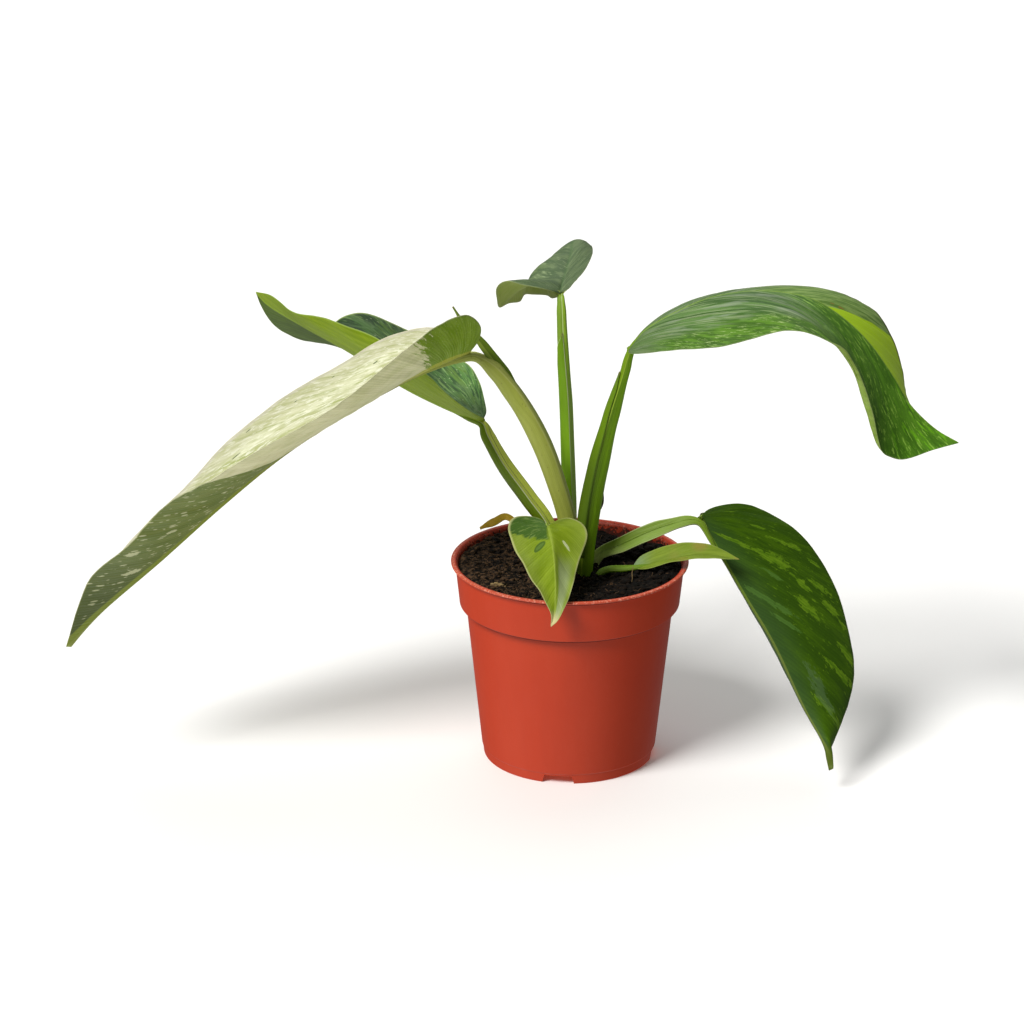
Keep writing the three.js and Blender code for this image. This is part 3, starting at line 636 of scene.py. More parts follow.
def section(width, depth, channel, wing, turn):
    """A stalk's outline at turns from 0 to 1, round below and channelled above."""
    k = np.arange(2 * CORNERS)
    from_top = np.minimum(k, 2 * CORNERS - k)
    dent = np.choose(np.minimum(from_top, 3), [1 - 1.25 * channel, 1 - 0.9 * channel,
                                               1 + 0.5 * wing, 1.0])
    spread = np.where(from_top == 2, 1 + wing, 1)
    x = np.sin(k * math.pi / CORNERS) * 0.5 * width * spread
    y = np.cos(k * math.pi / CORNERS) * 0.5 * depth * dent
    u = np.asarray(turn) % 1 * 2 * CORNERS
    i = np.floor(u).astype(int)
    f = u - i
    out = []
    for v in (x, y):
        a, b, c, d = (v[(i + o) % (2 * CORNERS)] for o in (-1, 0, 1, 2))
        bend = 2 * a - 5 * b + 4 * c - d + f * (3 * (b - c) + d - a)
        out.append(b + 0.5 * f * (c - a + f * bend))
    return out


def stalk_rings(spec, shares, turns, grow=0.0):
    """Points round a stalk: a ring at each share of its length, with that ring's turns."""
    path = Path(spec["path"])
    face = unit(np.array(spec["face"], float))
    rings = []
    for s, turn in zip(shares, turns):
        ahead = path.ahead(s)
        top = unit(face - ahead * (face @ ahead))
        side = np.cross(ahead, top)
        sizes = [eased(spec.get(k, [(0, 0)]), s) for k in ("width", "depth", "channel", "wing")]
        x, y = section(*sizes, turn)
        larger = 1 + grow / np.hypot(x, y)
        rings.append(path.at(s) + (x * larger)[:, None] * side + (y * larger)[:, None] * top)
    return np.array(rings), path


def tube(name, loops, ends, finish):
    """A piece over closed loops of points, from one end point to the other."""
    points = np.vstack([loops.reshape(-1, 3), ends])
    faces = [face[::-1] for face in skin(loops.shape[:2], len(points) - 2, len(points) - 1)]
    return piece(name, points, faces, finish)


def tagged(made, name, values):
    """Keeps three numbers for each point of a piece, for its material to read."""
    layer = made.data.attributes.new(name, "FLOAT_VECTOR", "POINT")
    layer.data.foreach_set("vector", np.asarray(values, float).ravel())


def stalk(name, spec, finish, sides=40, rings=110):
    """A leaf stalk; its material can read share of length, turn and millimetres."""
    shares = np.linspace(0, 1, rings)
    turn = np.arange(sides) / sides
    points, path = stalk_rings(spec, shares, [turn] * rings)
    made = tube(name, points, [path.at(0.0), path.at(1.0)], finish)
    s, t = np.meshgrid(shares, turn, indexing="ij")
    tags = np.stack([s, t, s * path.length], -1).reshape(-1, 3)
    tagged(made, "place", np.vstack([tags, [0, 0, 0], [1, 0, path.length]]))
    return made


def stalk_finish(name, low, high, bed, rim, foot="a9a878", back=1.0, ground=1.0):
    """Waxy stalk: low and high colour its round side, bed its channel and rim the edges.

    Its back is lightened by back, painted light where the lamp leaves it in shade, and its lower
    part is made darker or lighter by ground.
    """
    f = Finish(name)
    spot = f.where()
    height = spot.parts()[2]
    turn = f.tag("place").parts()[1]
    from_top = turn.from_line()
    base = f.mix(f.grain(spot, 9, 3.0, 0.6, (1, 1, 2.5)), low, high)
    # painted light: the back is lightened against the shade that the lamp leaves on it
    base = f.shade(base, 1 + from_top.rise(0.18, 0.36) * (back - 1))
    base = f.shade(base, 1 + height.rise(165, 125) * (ground - 1))
    base = f.mix(from_top.rise(0.17, 0.12), base, bed)
    # fine ribs along the stalk
    fine = (turn * 38).from_line() * 2
    broad = (turn * 13 + f.grain(spot, 22, 1.0) * 2).from_line() * 2
    base = f.shade(base, 0.93 + broad * 0.08 + fine * 0.05)
    # the two rims of the channel are thin and paler, the foot has a tone of its own, on the pale
    # stalks a light one that is painted light against the shadow stalk D casts on stalk E's foot,
    # and there are corky specks
    line = abs(from_top - 0.165).rise(0.022, 0.008)
    speck = f.spots(spot, 2.6, 4, (1, 1, 1.6)).rise(0.12, 0.08)
    base = f.coats(base, (line * 0.75, rim), (height.rise(98, 88) * 0.5, foot),
                   (speck * 0.4, "5d5c2a"))
    relief = fine * 0.5 + broad * 0.7 + f.grain(spot, 0.5) * 0.3
    rough = 0.42 + f.grain(spot, 4.0, 3.0, 0.6, (1, 1, 3)) * 0.14
    return f.close(base, rough, 0.3, relief, 0.00009)


olive = stalk_finish("stalk_olive", "929c38", "a5ad4e", "abb357", "b5bb69")
grassy = stalk_finish("stalk_grassy", "6c8900", "84a40a", "dce655", "e4e8b8", "8f9c38", 1.0, 0.65)
bright = stalk_finish("stalk_bright", "6a8c20", "7e9c34", "9cc434", "c4d68c", "98b048")
deep = stalk_finish("stalk_deep", "4e7000", "608200", "6a8a08", "8fa830", "4c6600", 2.3, 0.9)
pale_green = stalk_finish("stalk_pale", "527006", "638214", "6e8a1c", "b4c27c", "c2c888")

for label, spec, finish, slot in (
        ("a", STALK_A, olive, "stalk_olive"), ("b", STALK_B, grassy, "stalk_green"),
        ("c", STALK_C, bright, "stalk_green"), ("d", STALK_D, deep, "stalk_green"),
        ("e", STALK_E, pale_green, "stalk_green"), ("g", STALK_G, pale_green, "stalk_green")):
    made = stalk(f"leaf_stalk_{label}", spec, finish)
    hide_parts(f"petiole_{label}")

# Sheaths and a dried remnant. Thin skins that once wrapped a younger leaf: a green one
# stands free behind blade A, others still hug stalks C and D, and a dead one is brown.
SHEATH_A = {
    "path": [(-22, -4, 170), (-33, -4, 185), (-40, -3, 194), (-46, -1, 200), (-51, 2, 207)],
    "face": (0.6, -1, 0.5),
    "width": [(0, 1.6), (0.25, 5.4), (0.5, 4.8), (0.75, 2.8), (1, 0.9)],
    "depth": [(0, 1.6), (0.3, 1.6), (0.8, 0.9), (1, 0.6)],
    "channel": [(0, 0.3)],
}
REMNANT = {
    "path": [(8.6, -1.2, 99), (9.9, -1.3, 106), (11.0, -1.6, 112), (13.2, -2.0, 119),
             (13.9, -2.4, 126), (15.0, -2.6, 131)],
    "face": (0, 1, 0),
    "width": [(0, 2.2), (0.2, 3.2), (0.45, 2.4), (0.6, 3.1), (0.85, 1.4), (1, 0.5)],
    "depth": [(0, 0.8), (0.9, 0.6), (1, 0.4)],
    "channel": [(0, 0.5)],
    "wing": [(0, 0.1)],
}
SHEATH_SIDES, SHEATH_RINGS = 14, 60
SHEATH_LIFT = 0.6  # from the stalk to the sheath's outside
SHEATH_THICKNESS = 0.4


def sheath(name, spec, finish, start, stop, facing, spread):
    """A thin sheath wrapped round a stalk from start to stop; spread is half its turn."""
    shares = np.linspace(start, stop, SHEATH_RINGS)
    along = (shares - start) / (stop - start)
    across = np.linspace(-1, 1, SHEATH_SIDES + 1)
    turns = [eased(facing, a) + across * eased(spread, a) for a in along]
    outer, path = stalk_rings(spec, shares, turns, SHEATH_LIFT)
    inner, _ = stalk_rings(spec, shares, turns, SHEATH_LIFT - SHEATH_THICKNESS)
    loops = np.concatenate([outer, inner[:, ::-1]], axis=1)
    made = tube(name, loops, [loops[0].mean(0), loops[-1].mean(0)], finish)
    edge = np.concatenate([across, across[::-1]])
    tags = [(a, e, s * path.length) for a, s in zip(along, shares) for e in edge]
    tagged(made, "place", [*tags, (0, 0, 0), (1, 0, 0)])
    return made


def sheath_finish(name, low, high, edge, ground=1.0):
    """Sheath skin with dry margins, its lower part made lighter or darker by ground; on sheath C
    this is painted light against the shade of stalks A and D.
    """
    f = Finish(name)
    spot = f.where()
    share, across, _ = f.tag("place").parts()
    ribs = (across * 9).from_line() * 2
    base = f.mix(f.grain(spot, 6, 3.0, 0.6, (1, 1, 4)), low, high)
    # painted light: sheath C's lower part is lightened against the shade of stalks A and D
    base = f.shade(base, 1 + spot.parts()[2].rise(165, 125) * (ground - 1))
    base = f.coats(f.shade(base, 0.94 + ribs * 0.1),
                   (abs(across).rise(0.78, 0.95) * 0.8, edge),
                   (share.rise(0.975, 1.0) * 0.7, "7a6a3a"))
    return f.close(base, 0.44 + f.grain(spot, 3) * 0.12, 0.3, ribs + f.grain(spot, 0.4), 0.00006)


free_tip = stalk("sheath_a", SHEATH_A, sheath_finish("sheath_dark", "4c6208", "617812", "7f9032"),
                 24, 70)
wrap_c = sheath("sheath_c", STALK_C, sheath_finish("sheath_c", "658e08", "769e18", "dfe6b4", 2.2),
                0.13, 0.86, [(0, 0.68), (0.8, 0.69), (0.93, 0.74), (1, 0.8)],
                [(0, 0.17), (0.8, 0.16), (0.93, 0.1), (1, 0.01)])
wrap_d = sheath("sheath_d", STALK_D, sheath_finish("sheath_d", "587600", "688a04", "466200", 0.52),
                0.16, 0.775, [(0, 0.0)], [(0, 0.2), (0.6, 0.17), (0.9, 0.13), (1, 0.04)])
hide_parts("petiole_a")
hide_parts("petiole_c")
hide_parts("petiole_d")


def dry_finish():
    """Dead leaf skin, wrinkled and fibrous."""
    f = Finish("dried_sheath")
    spot = f.where()
    wrinkles = f.grain(spot, 2.0, 4.0, 0.7, (1, 1, 2.4)).rise(0.34, 0.66)
    fibres = f.grain(spot, 0.8, 3.0, 0.6, (1, 1, 4), 6).rise(0.58, 0.7)
    base = f.coats(f.mix(wrinkles, "241a12", "3d2c1c"), (fibres * 0.7, "6e5636"))
    relief = f.grain(spot, 0.8, 4.0, 0.7, (1, 1, 3))
    return f.close(base, 0.78 + f.grain(spot, 1.0) * 0.15, 0.3, relief, 0.0005)


dead = stalk("dried_sheath", REMNANT, dry_finish(), 16, 60)
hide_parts("sheath_remnant")

# Blade A. The largest leaf, a limp living sheet that hangs from the bent end of stalk A, half
# folded along its midrib: the near half shows its underside, the far half its cream upper
# face; green again at the lobes and the tip.
LEAF_A = {
    "midrib": [(-45, -4, 187), (-61, -5, 181.6), (-82, -7, 171), (-104, -9, 158), (-126, -11, 143),
               (-152, -14, 121.4), (-179, -17, 97), (-206, -21, 73.8), (-221, -23, 59)],
    "left": [(-40, -9, 195), (-39, -16, 204), (-45, -24, 211), (-56, -30, 209), (-67, -36, 203),
             (-91, -42, 183), (-121, -46, 165), (-146, -46, 149.6), (-171, -44, 134),
             (-189, -40, 114), (-206, -35, 98), (-213, -30, 83)],
    "right": [(-40, 5, 192), (-46, 18, 191), (-65, 28, 189), (-84, 33, 182), (-106, 34, 167.6),
              (-132, 33, 152.2), (-151, 30, 136.4), (-169, 22, 119.4), (-186, 12, 105),
              (-204, 0, 86)],
    "sag_left": [0, -3, -3, -2, 0],
    "sag_right": [0, -4, -4, -4, -2],
    "fan": 1.6,
    "sweep": (0.08, 1.2),  # how far the side veins run towards the tip, left and right half
    "half_width": 36,
    "spacing": 9,
    "puff": 0.5,
    "ripple": 0.35,
}
BLADE_THICKNESS = 0.6
WAVES = 5  # along a margin
USUAL = {  # in millimetres, where a leaf's own table doesn't say otherwise
    "fan": 1.7,  # a power; the larger, the nearer to the foot the side veins start
    "rib": 1.3,  # how far the midrib stands out below, at its foot
    "puff": 0.3,  # how far the blade is raised between two side veins
    "wave": 0.5,  # how far the margin waves up and down
    "ripple": 0.22,
    "sag_left": [0, 0],  # how far each half bulges up, evenly from the foot to the tip
    "sag_right": [0, 0],
}


def evenly(values):
    """Evenly spaced values as (share, value) stops."""
    return [(i / (len(values) - 1), v) for i, v in enumerate(values)]


def sheet(leaf, rows, columns):
    """The middle of a blade as points by row and column, with their shares and lengths."""
    leaf = {**USUAL, **leaf}
    s = np.linspace(0, 1, rows + 1)[1:-1]
    t = np.linspace(-1, 1, 2 * columns + 1)
    t = np.sign(t) * np.abs(t) ** 1.35
    if "roll" in leaf:
        t = np.unique(np.concatenate([t, np.linspace(0.84, 1, 24)]))
    midrib = Path(leaf["midrib"])
    middle, ahead = midrib.at(s ** leaf["fan"]), midrib.ahead(s ** leaf["fan"])
    spots = np.zeros((len(s), len(t), 3))
    lengths = np.zeros((len(s), len(t)))
    for side, name in ((-1, "left"), (1, "right")):
        margin = Path([leaf["midrib"][0], *leaf[name], leaf["midrib"][-1]]).at(s)
        reach = margin - middle
        up = unit(np.cross(reach, ahead)) * side
        sag = eased(evenly(leaf["sag_" + name]), s)
        for j in np.flatnonzero(t * side >= 0):
            share = abs(t[j])
            bow = 4 * share * (1 - share) * sag
            spots[:, j] = middle + reach * share + up * bow[:, None]
            lengths[:, j] = np.linalg.norm(reach, axis=1) * t[j]
    return s, t, spots, lengths, midrib.length


def facing(spots):
    """Directions that look out of the upper face."""
    down, across = np.gradient(spots, axis=0), np.gradient(spots, axis=1)
    return unit(np.cross(across, down))


def rolled(leaf, s, t, spots, lengths, up):
    """A margin that is rolled up over part of its length, on the right half."""
    start, stop, radius, turn = leaf["roll"]
    much = eased([(start, 0), (start + 0.09, 1), (stop - 0.07, 1), (stop, 0)], s)
    flat = np.flatnonzero(t >= 0)
    for i in np.flatnonzero(much > 0.01):
        row, high = spots[i, flat].copy(), up[i, flat[-1]]
        out = unit(row[-1] - row[-2])
        wide = lengths[i, -1]
        strip = radius * turn * much[i] / wide
        inner = np.minimum(t[flat] / (1 - strip), 1)
        for k in range(3):
            spots[i, flat, k] = np.interp(inner, t[flat], row[:, k])
        angle = (np.maximum(t[flat] - (1 - strip), 0) * wide / radius)[:, None]
        spots[i, flat] += radius * (np.sin(angle) * out + (1 - np.cos(angle)) * high)
    return spots


def vein_grid(leaf, share, side, lengths, length):
    """Millimetres across the side veins and along them; they sweep towards the tip."""
    left, right = leaf["sweep"]
    sweep = np.where(side < 0, left, right)
    halfway = 1 + 0.6 * sweep
    longer = np.hypot(1, 0.6 * sweep / halfway * length / leaf["half_width"])
    across = (share - sweep * np.abs(side) * (1 - share)) * length / halfway / longer
    return across, lengths * longer


def blade(name, leaf, finish, rows=230, columns=32):
    """A leaf blade with its midrib, veins and rounded margin, closed all round."""
    leaf = {**USUAL, **leaf}
    s, t, spots, lengths, length = sheet(leaf, rows, columns)
    up = facing(spots)
    if "roll" in leaf:
        spots = rolled(leaf, s, t, spots, lengths, up)
        up = facing(spots)
    share, side = np.meshgrid(s, t, indexing="ij")
    off = np.abs(side)
    fade = np.minimum(share * 6, 1) * np.minimum((1 - share) * 5, 1)
    across, along = vein_grid(leaf, share, side, lengths, length)
    # it is raised between the side veins, waved at its margin and lightly rippled all over
    between = np.abs((across / leaf["spacing"] + 0.25 * (side > 0)) % 1 - 0.5) * 2
    puff = leaf["puff"] * (np.sqrt(between) - 0.6) * np.minimum(off * 2, 1) * (1 - off**3)
    wave = leaf["wave"] * off**3 * np.sin(
        2 * math.pi * (share * WAVES + 0.3 * side)) * fade
    ripple = np.array([noise.noise(Vector((a, b, 3.7)))
                       for a, b in zip((across / 3).ravel(), (along / 14).ravel())])
    ripple = ripple.reshape(off.shape) * leaf["ripple"] * np.minimum(off * 2, 1)
    spots = spots + up * (((puff + ripple) * fade + wave)[..., None])
    up = facing(spots)
    # thinner at the margin and the tip, with a groove above the midrib and its keel below
    tapered = 0.55 + 0.45 * np.minimum((1 - share) * 6, 1)
    half = BLADE_THICKNESS / 2 * (1 - 0.55 * off**3) * tapered
    keel_width = 1.2 + 0.8 * (1 - share)
    keel = leaf["rib"] * (1 - share**1.2) * np.exp(-(lengths / keel_width)**2)
    groove = 0.35 * (1 - share) * fade * np.exp(-(lengths / 0.8)**2)
    above = spots + up * (half - groove)[..., None]
    below = spots - up * (half + keel)[..., None]
    out_right = unit(spots[:, -1] - spots[:, -2]) * half[:, -1:] * 0.8 + spots[:, -1]
    out_left = unit(spots[:, 0] - spots[:, 1]) * half[:, :1] * 0.8 + spots[:, 0]
    loops = np.concatenate([above, out_right[:, None], below[:, ::-1], out_left[:, None]], axis=1)
    points = np.vstack([loops.reshape(-1, 3), leaf["midrib"][0], leaf["midrib"][-1]])
    made = piece(name, points, skin(loops.shape[:2], len(points) - 2, len(points) - 1), finish)

    # for the material: the place, with 1 on the upper face and 0 below, and the vein grid
    place = np.stack([share, side, np.ones_like(share)], -1)
    grid = np.stack([across, along, lengths], -1)
    for tag, top, on_rim, under, ends in (
            ("place", place, (1, 1, 0.5), (1, 1, 0), [(0, 0, 0.5), (1, 0, 0.5)]),
            ("grid", grid, 1, 1, [(0, 0, 0), (across[-1, columns], 0, 0)])):
        ring = [top, top[:, -1:] * on_rim, top[:, ::-1] * under, top[:, :1] * on_rim]
        tagged(made, tag, np.vstack([np.concatenate(ring, axis=1).reshape(-1, 3), ends]))
    return made


class LeafFinish(Finish):
    """A blade's material: where on the leaf, its veins, and streaks that follow them."""

    def __init__(self, name, leaf, seed):
        super().__init__(name)
        self.leaf = leaf
        self.seed = seed
        self.spot = self.where()
        self.grid = self.tag("grid")
        self.share, self.side, face = self.tag("place").parts()
        across, _, self.far = self.grid.parts()
        self.off = abs(self.side)
        self.right = self.side.rise(-0.001, 0.001)
        self.upper = face.rise(0.4, 0.6)
        wobble = self.grain(self.grid, 24, 1.0, 0.5, (1, 1, 1000)) * 0.2
        row = across * (1 / leaf["spacing"]) + self.right * 0.25 + wobble
        self.main = (row + 0.4).from_line().rise(0.09, 0.0)
        self.fine = (row * 7).from_line() * 2
        self.finest = (row * 23).from_line() * 2

    def streaks(self, width, length, shift, detail=3.0, rough=0.6):
        """Noise whose features lie along the veins, width by length in millimetres."""
        return self.grain(self.grid, 1.0, detail, rough, (width, length, 1000), self.seed + shift)

    def streaked(self, first, second, width, length, shift, low=0.3, high=0.7, detail=3.0):
        """Two colours in streaks; the second one is full where the noise is above high."""
        return self.mix(self.streaks(width, length, shift, detail).rise(low, high), first, second)

    def flecks(self, width, length, shift):
        """Distance to scattered flecks that lie along the veins."""
        return self.spots(self.grid, 1.0, self.seed + shift, (width, length, 1000), True)

    def patches(self, places, ragged=4.0):
        """Patches of (share, side, width, length), drawn out along the veins in millimetres."""
        s, _, _, lengths, length = sheet(self.leaf, 120, 6)
        edge = (self.streaks(1.6, 4, 50, 5.0, 0.75) - 0.5) * ragged
        x, y, _ = self.grid.parts()
        found = 0
        for share, side, wide, long in places:
            reach = np.interp(share, s, abs(lengths[:, 0 if side < 0 else -1])) * side
            here = vein_grid(self.leaf, share, side, reach, length)
            away = ((x - float(here[0])) * (2 / wide)) ** 2 \
                + ((y - float(here[1])) * (2 / long)) ** 2
            found = (away + edge).rise(1.12, 0.92).most(found)
        return found

    def rib(self, width):
        """The midrib as a mask, width in millimetres at its foot."""
        edge = (1 - self.share * 0.75) * width * 0.5
        return abs(self.far).rise(edge + 0.4, edge - 0.1)

    def margin(self, start, full, much):
        """A mask along the margin, from start to full share of the way out."""
        return self.off.rise(start, full) * much

    def veined(self, base, dark, light):
        """Veins drawn into a colour: darker beside them and a paler line along them."""
        tone = 1 - dark * (1 - self.fine) + self.streaks(1.5, 26, 3) * 0.12 - 0.06
        base = self.shade(base, tone)
        return self.mix(self.main * light, base, self.shade(base, 1.35))

    def leafy(self, base, smoothest, relief=1.0, gleam=0.16):
        """The finished blade with its relief of veins; smoothest is its least roughness."""
        bumps = (self.fine * 0.35 + self.finest * 0.12 - self.main * 0.5
                 + self.grain(self.spot, 0.45) * 0.35 + self.grain(self.spot, 3.5) * 0.5)
        rough = smoothest + self.grain(self.spot, 5, 3.0, 0.6) * 0.14
        return self.close(base, rough, gleam, bumps, 0.00012 * relief)


def finish_a():
    f = LeafFinish("leaf_a", LEAF_A, 2)
    specks = f.patches(((0.289, 0.75, 1.3, 1.5), (0.584, 0.767, 1.3, 1.6), (0.53, 0.93, 1, 1.2),
                        (0.44, 0.86, 0.8, 1), (0.36, 0.9, 0.7, 0.9)), 0.6)
    # the cream upper face; its whitish streaks and broad pale patches are painted highlights of its
    # gloss
    cream = f.coats(
        f.streaked("cfd0ae", "adb27c", 3.0, 30, 1, 0.35, 0.65),
        (f.main * 0.6, "8c9852"),
        (f.streaks(1.2, 12, 9, 4.0).rise(0.54, 0.64) * 0.5, "9aa460"),
        (f.streaks(1.1, 6, 27, 4.0).rise(0.52, 0.62) * 0.7, "ebecd8"),
        (f.streaks(7, 20, 37).rise(0.5, 0.65) * 0.6, "e2e3c6"),
        (f.margin(0.72, 0.9, 0.4), "aeac90"),
        (specks, "33481c"),
        (f.margin(0.955, 0.985, 0.6), "bab5a6"))
    beige = f.coats(f.streaked("f0efbc", "dee0a4", 16, 5, 2, 0.35, 0.65),
                    (f.off.rise(0.4, 0.1) * 0.4, "e6e4b4"))
    long_flecks = f.flecks(3.0, 14.0, 8).rise(0.14, 0.09) * f.streaks(6, 9, 21).rise(0.44, 0.5)
    short_flecks = f.flecks(2.0, 8.0, 15).rise(0.13, 0.08) * f.streaks(5, 9, 25).rise(0.46, 0.52)
    dots = f.streaks(0.9, 5, 33, 4.0, 0.7).rise(0.68, 0.71)
    pale_spots = f.patches(((0.789, -0.8, 2.6, 8), (0.843, -0.367, 2.6, 7),
                            (0.74, -0.55, 1.4, 5)), 6.0)
    fleck = long_flecks.most(short_flecks).most(dots).most(pale_spots)
    green = f.coats(f.streaked("6f812c", "7f8d38", 2.5, 16, 4, 0.35, 0.7),
                    (f.share.rise(0.72, 0.95) * 0.8, "465608"),
                    (fleck * (0.95 - f.share.rise(0.8, 1) * 0.5), "d2d6a0"))
    lobe = f.coats(f.streaked("779718", "88a532", 3, 12, 12),
                   (f.flecks(1.6, 2.6, 40).rise(0.13, 0.08) * 0.6, "a9b676"))
    upper_green = f.coats(f.streaked("33601c", "4c7c2c", 2.5, 14, 4, 0.4, 0.6), (fleck, "c9d296"))
    ragged = f.streaks(1.3, 10, 6, 4.0, 0.7) - 0.5
    # the near half is green at the lobe and past a sector line that follows a vein
    base_near = (f.share + ragged * 0.12).rise(0.212, 0.202)
    base_far = (f.share + ragged * 0.08).rise(0.07, 0.06)
    tip_near = (f.share - f.off * f.off * f.off * 0.04 + ragged * 0.02).rise(0.555, 0.562)
    tip_far = (f.share + ragged * 0.09).rise(0.82, 0.835)
    near = 1 - f.right
    under = f.coats(beige, (base_near * near, lobe), (tip_near * near, green))
    over = f.coats(cream, (base_near.most(tip_near) * near, upper_green),
                   (base_far.most(tip_far) * f.right, upper_green))
    # below, a broad yellow-green band follows the midrib, with a shadow line in its middle
    below = 1 - f.upper
    band = f.share.rise(0.45, 0.7) * below * abs(f.far).rise(4.6, 3.4)
    band_tone = f.mix(f.share.rise(0.4, 0.7), "b3b848", "8c9c1c")
    shadow = below * abs(f.far).rise(1.6, 0.8) * f.share.rise(0.2, 0.3) * f.share.rise(0.7, 0.55)
    base = f.coats(f.veined(f.mix(f.upper, under, over), 0.06, 0.12),
                   (f.rib(9.0).most(band) * 0.9, f.mix(f.upper, band_tone, "b4bb78")),
                   (shadow * 0.8, "5d6424"), (f.margin(0.985, 0.997, 0.6), "c9c8a0"))
    return f.leafy(base, 0.33, 1.4, 0.3)


blade_a = blade("leaf_blade_a", LEAF_A, finish_a())
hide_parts("blade_a")

# Blade B. A living sheet on the end of stalk B that reaches up and away to the left behind
# A: the near half is seen from below, plain yellow-green, the far half from above, mottled
# dark green.
LEAF_B = {
    "midrib": [(-39, 32, 145), (-54, 38, 149), (-75, 46, 157), (-97, 55, 169), (-118, 62, 179),
               (-136, 69, 188), (-141, 71, 193)],
    "left": [(-38, 26, 148), (-44, 20, 153), (-55, 20, 163), (-64, 25, 169), (-84, 36, 181),
             (-104, 42, 188), (-122, 50, 190), (-134, 62, 194)],
    "right": [(-37, 40, 146), (-38, 50, 149), (-40.2, 60.6, 153.6), (-45.6, 71, 158.8),
              (-58, 80, 163), (-77, 88, 171.6), (-92, 93, 175.6), (-101, 94, 174.6),
              (-106.8, 92.4, 172), (-112, 89, 166), (-120, 85, 165), (-129, 80, 171),
              (-135, 76, 178), (-139, 73, 186)],
    "sag_left": [0, -2, -2, 0],
    "sag_right": [0, -3, -1, 0, 0],
    "sweep": (0.8, 1.2),
    "half_width": 30,
    "spacing": 7.5,
}


def finish_b():
    f = LeafFinish("leaf_b", LEAF_B, 13)
    near = f.streaked("7a9410", "8ba220", 24, 2.5, 1)
    far = f.streaked("3f560c", "50681a", 3, 20, 2)
    pale = f.flecks(2.2, 5.0, 3).rise(0.12, 0.07) * f.streaks(6, 9, 20).rise(0.5, 0.6)
    over = f.coats(
        f.streaked("34522a", "527a3c", 2.4, 16, 4, 0.42, 0.56, 4.0),
        (f.streaks(1.3, 14, 7, 4.0, 0.65).rise(0.54, 0.64), "7c9e58"),
        (f.streaks(4.5, 30, 12).rise(0.52, 0.62) * 0.6, "5c7c2c"),
        (f.streaks(5, 12, 31, 4.0).rise(0.5, 0.6) * (1 - f.off * 0.6) * 0.8, "6e9058"),
        (pale * 0.8, "b9cf9a"))
    over = f.shade(over, 1.15 - f.share.rise(0.3, 0.45) * 0.6)
    under = f.mix(f.right, near, far)
    base = f.coats(f.veined(f.mix(f.upper, under, over), 0.12, 0.25),
                   (f.rib(4.0) * 0.8, f.mix(f.upper, "8ba62a", "7f9c3c")),
                   (f.margin(0.975, 0.995, 0.6), "9fb464"))
    return f.leafy(base, 0.4)


blade_b = blade("leaf_blade_b", LEAF_B, finish_b())
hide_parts("blade_b")

# Blade C. A living sheet carried high on the upright stalk C and reaching away from the
# viewer; one lobe is folded over so that its olive underside hangs in front.
LEAF_C = {
    "midrib": [(-5, 12, 210), (-2, 34, 213), (0.8, 54, 216.2), (1.8, 72, 216.4), (3.2, 86, 211.4),
               (6, 98, 203), (6, 108, 193)],
    "left": [(-11, 8, 213), (-21, 8, 215), (-28, 10, 216), (-32, 14, 212), (-32, 19, 205),
             (-31, 24, 200), (-27, 30, 200), (-22, 36, 199), (-20, 43, 200), (-16, 50, 198),
             (-10, 62, 194), (-7, 74, 189), (-1, 92, 187)],
    "right": [(-1.6, 14, 211), (1.6, 22, 212), (6.6, 38, 213), (10.2, 56, 215),
              (10.2, 70, 214.4), (9.4, 82, 210), (8, 96, 201)],
    "sag_left": [0, 2, 6, 6, 2],
    "sag_right": [0, 0, 2, 1],
    "fan": 1.5,
    "sweep": (0.5, 0.5),
    "half_width": 20,
    "spacing": 6,
    "puff": 0.2,
    "ripple": 0.15,
    "wave": 0,
}


def finish_c():
    f = LeafFinish("leaf_c", LEAF_C, 29)
    # the upper face is grey-green with pale streaks, partly a painted sheen of reflected light, and
    # its right half is painted paler grey as a sheen
    over = f.coats(f.streaked("4a603c", "64784e", 2.2, 14, 1, 0.42, 0.6, 4.0),
                   (f.streaks(1.2, 9, 6, 4.0).rise(0.6, 0.68) * 0.7, "93a576"),
                   (f.right * 0.25, "6c8058"))
    under = f.streaked("a6b854", "b4c268", 3, 18, 2)
    base = f.coats(f.veined(f.mix(f.upper, under, over), 0.12, 0.2),
                   (f.rib(1.6) * 0.45, f.mix(f.upper, "a2b25c", "4c6a3c")),
                   (f.margin(0.965, 0.99, 0.5), "9aa574"))
    return f.leafy(base, 0.42)


blade_c = blade("leaf_blade_c", LEAF_C, finish_c())
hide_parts("blade_c")

# Blade D. A living sheet that arches over to the right from stalk D and hangs, its tip turned
# out; the near margin is rolled up, and one yellow-green sector runs beside the midrib on the
# far half.
LEAF_D = {
    "midrib": [(25, -5, 190), (31, -5, 198), (46, -4, 207), (60, -4, 213), (80, -5, 216),
               (100, -7, 214), (112, -8, 208), (126, -10, 196), (138, -13, 180), (145, -16, 169),
               (156, -20, 159), (166, -24, 154)],
    "right": [(25, -14, 191), (36, -24, 195), (59, -34, 200), (75, -38, 205), (93, -40, 209.2),
              (107.4, -40.4, 205), (116.4, -38.4, 193.4), (124.4, -36.4, 173.6),
              (130.4, -34.4, 155.6), (140, -31, 149), (155, -27, 152)],
    "left": [(25, 2, 188), (34, 14, 193), (52, 24, 201), (71, 28, 205), (95, 30, 206),
             (118, 28, 205), (134, 24, 198), (140, 18, 188), (145, 8, 174), (146, -6, 166),
             (150.4, -13.6, 158), (156.6, -19.6, 155.8)],
    "sag_right": [0, 2, 2, 2, 0],
    "sag_left": [0, 2, 2, 1, 0],
    "fan": 1.5,
    "sweep": (0.2, 1.0),
    "half_width": 34,
    "spacing": 8.5,
    "roll": (0.48, 0.84, 1.4, 2.3),  # from and to share of length, radius, turn in radians
}


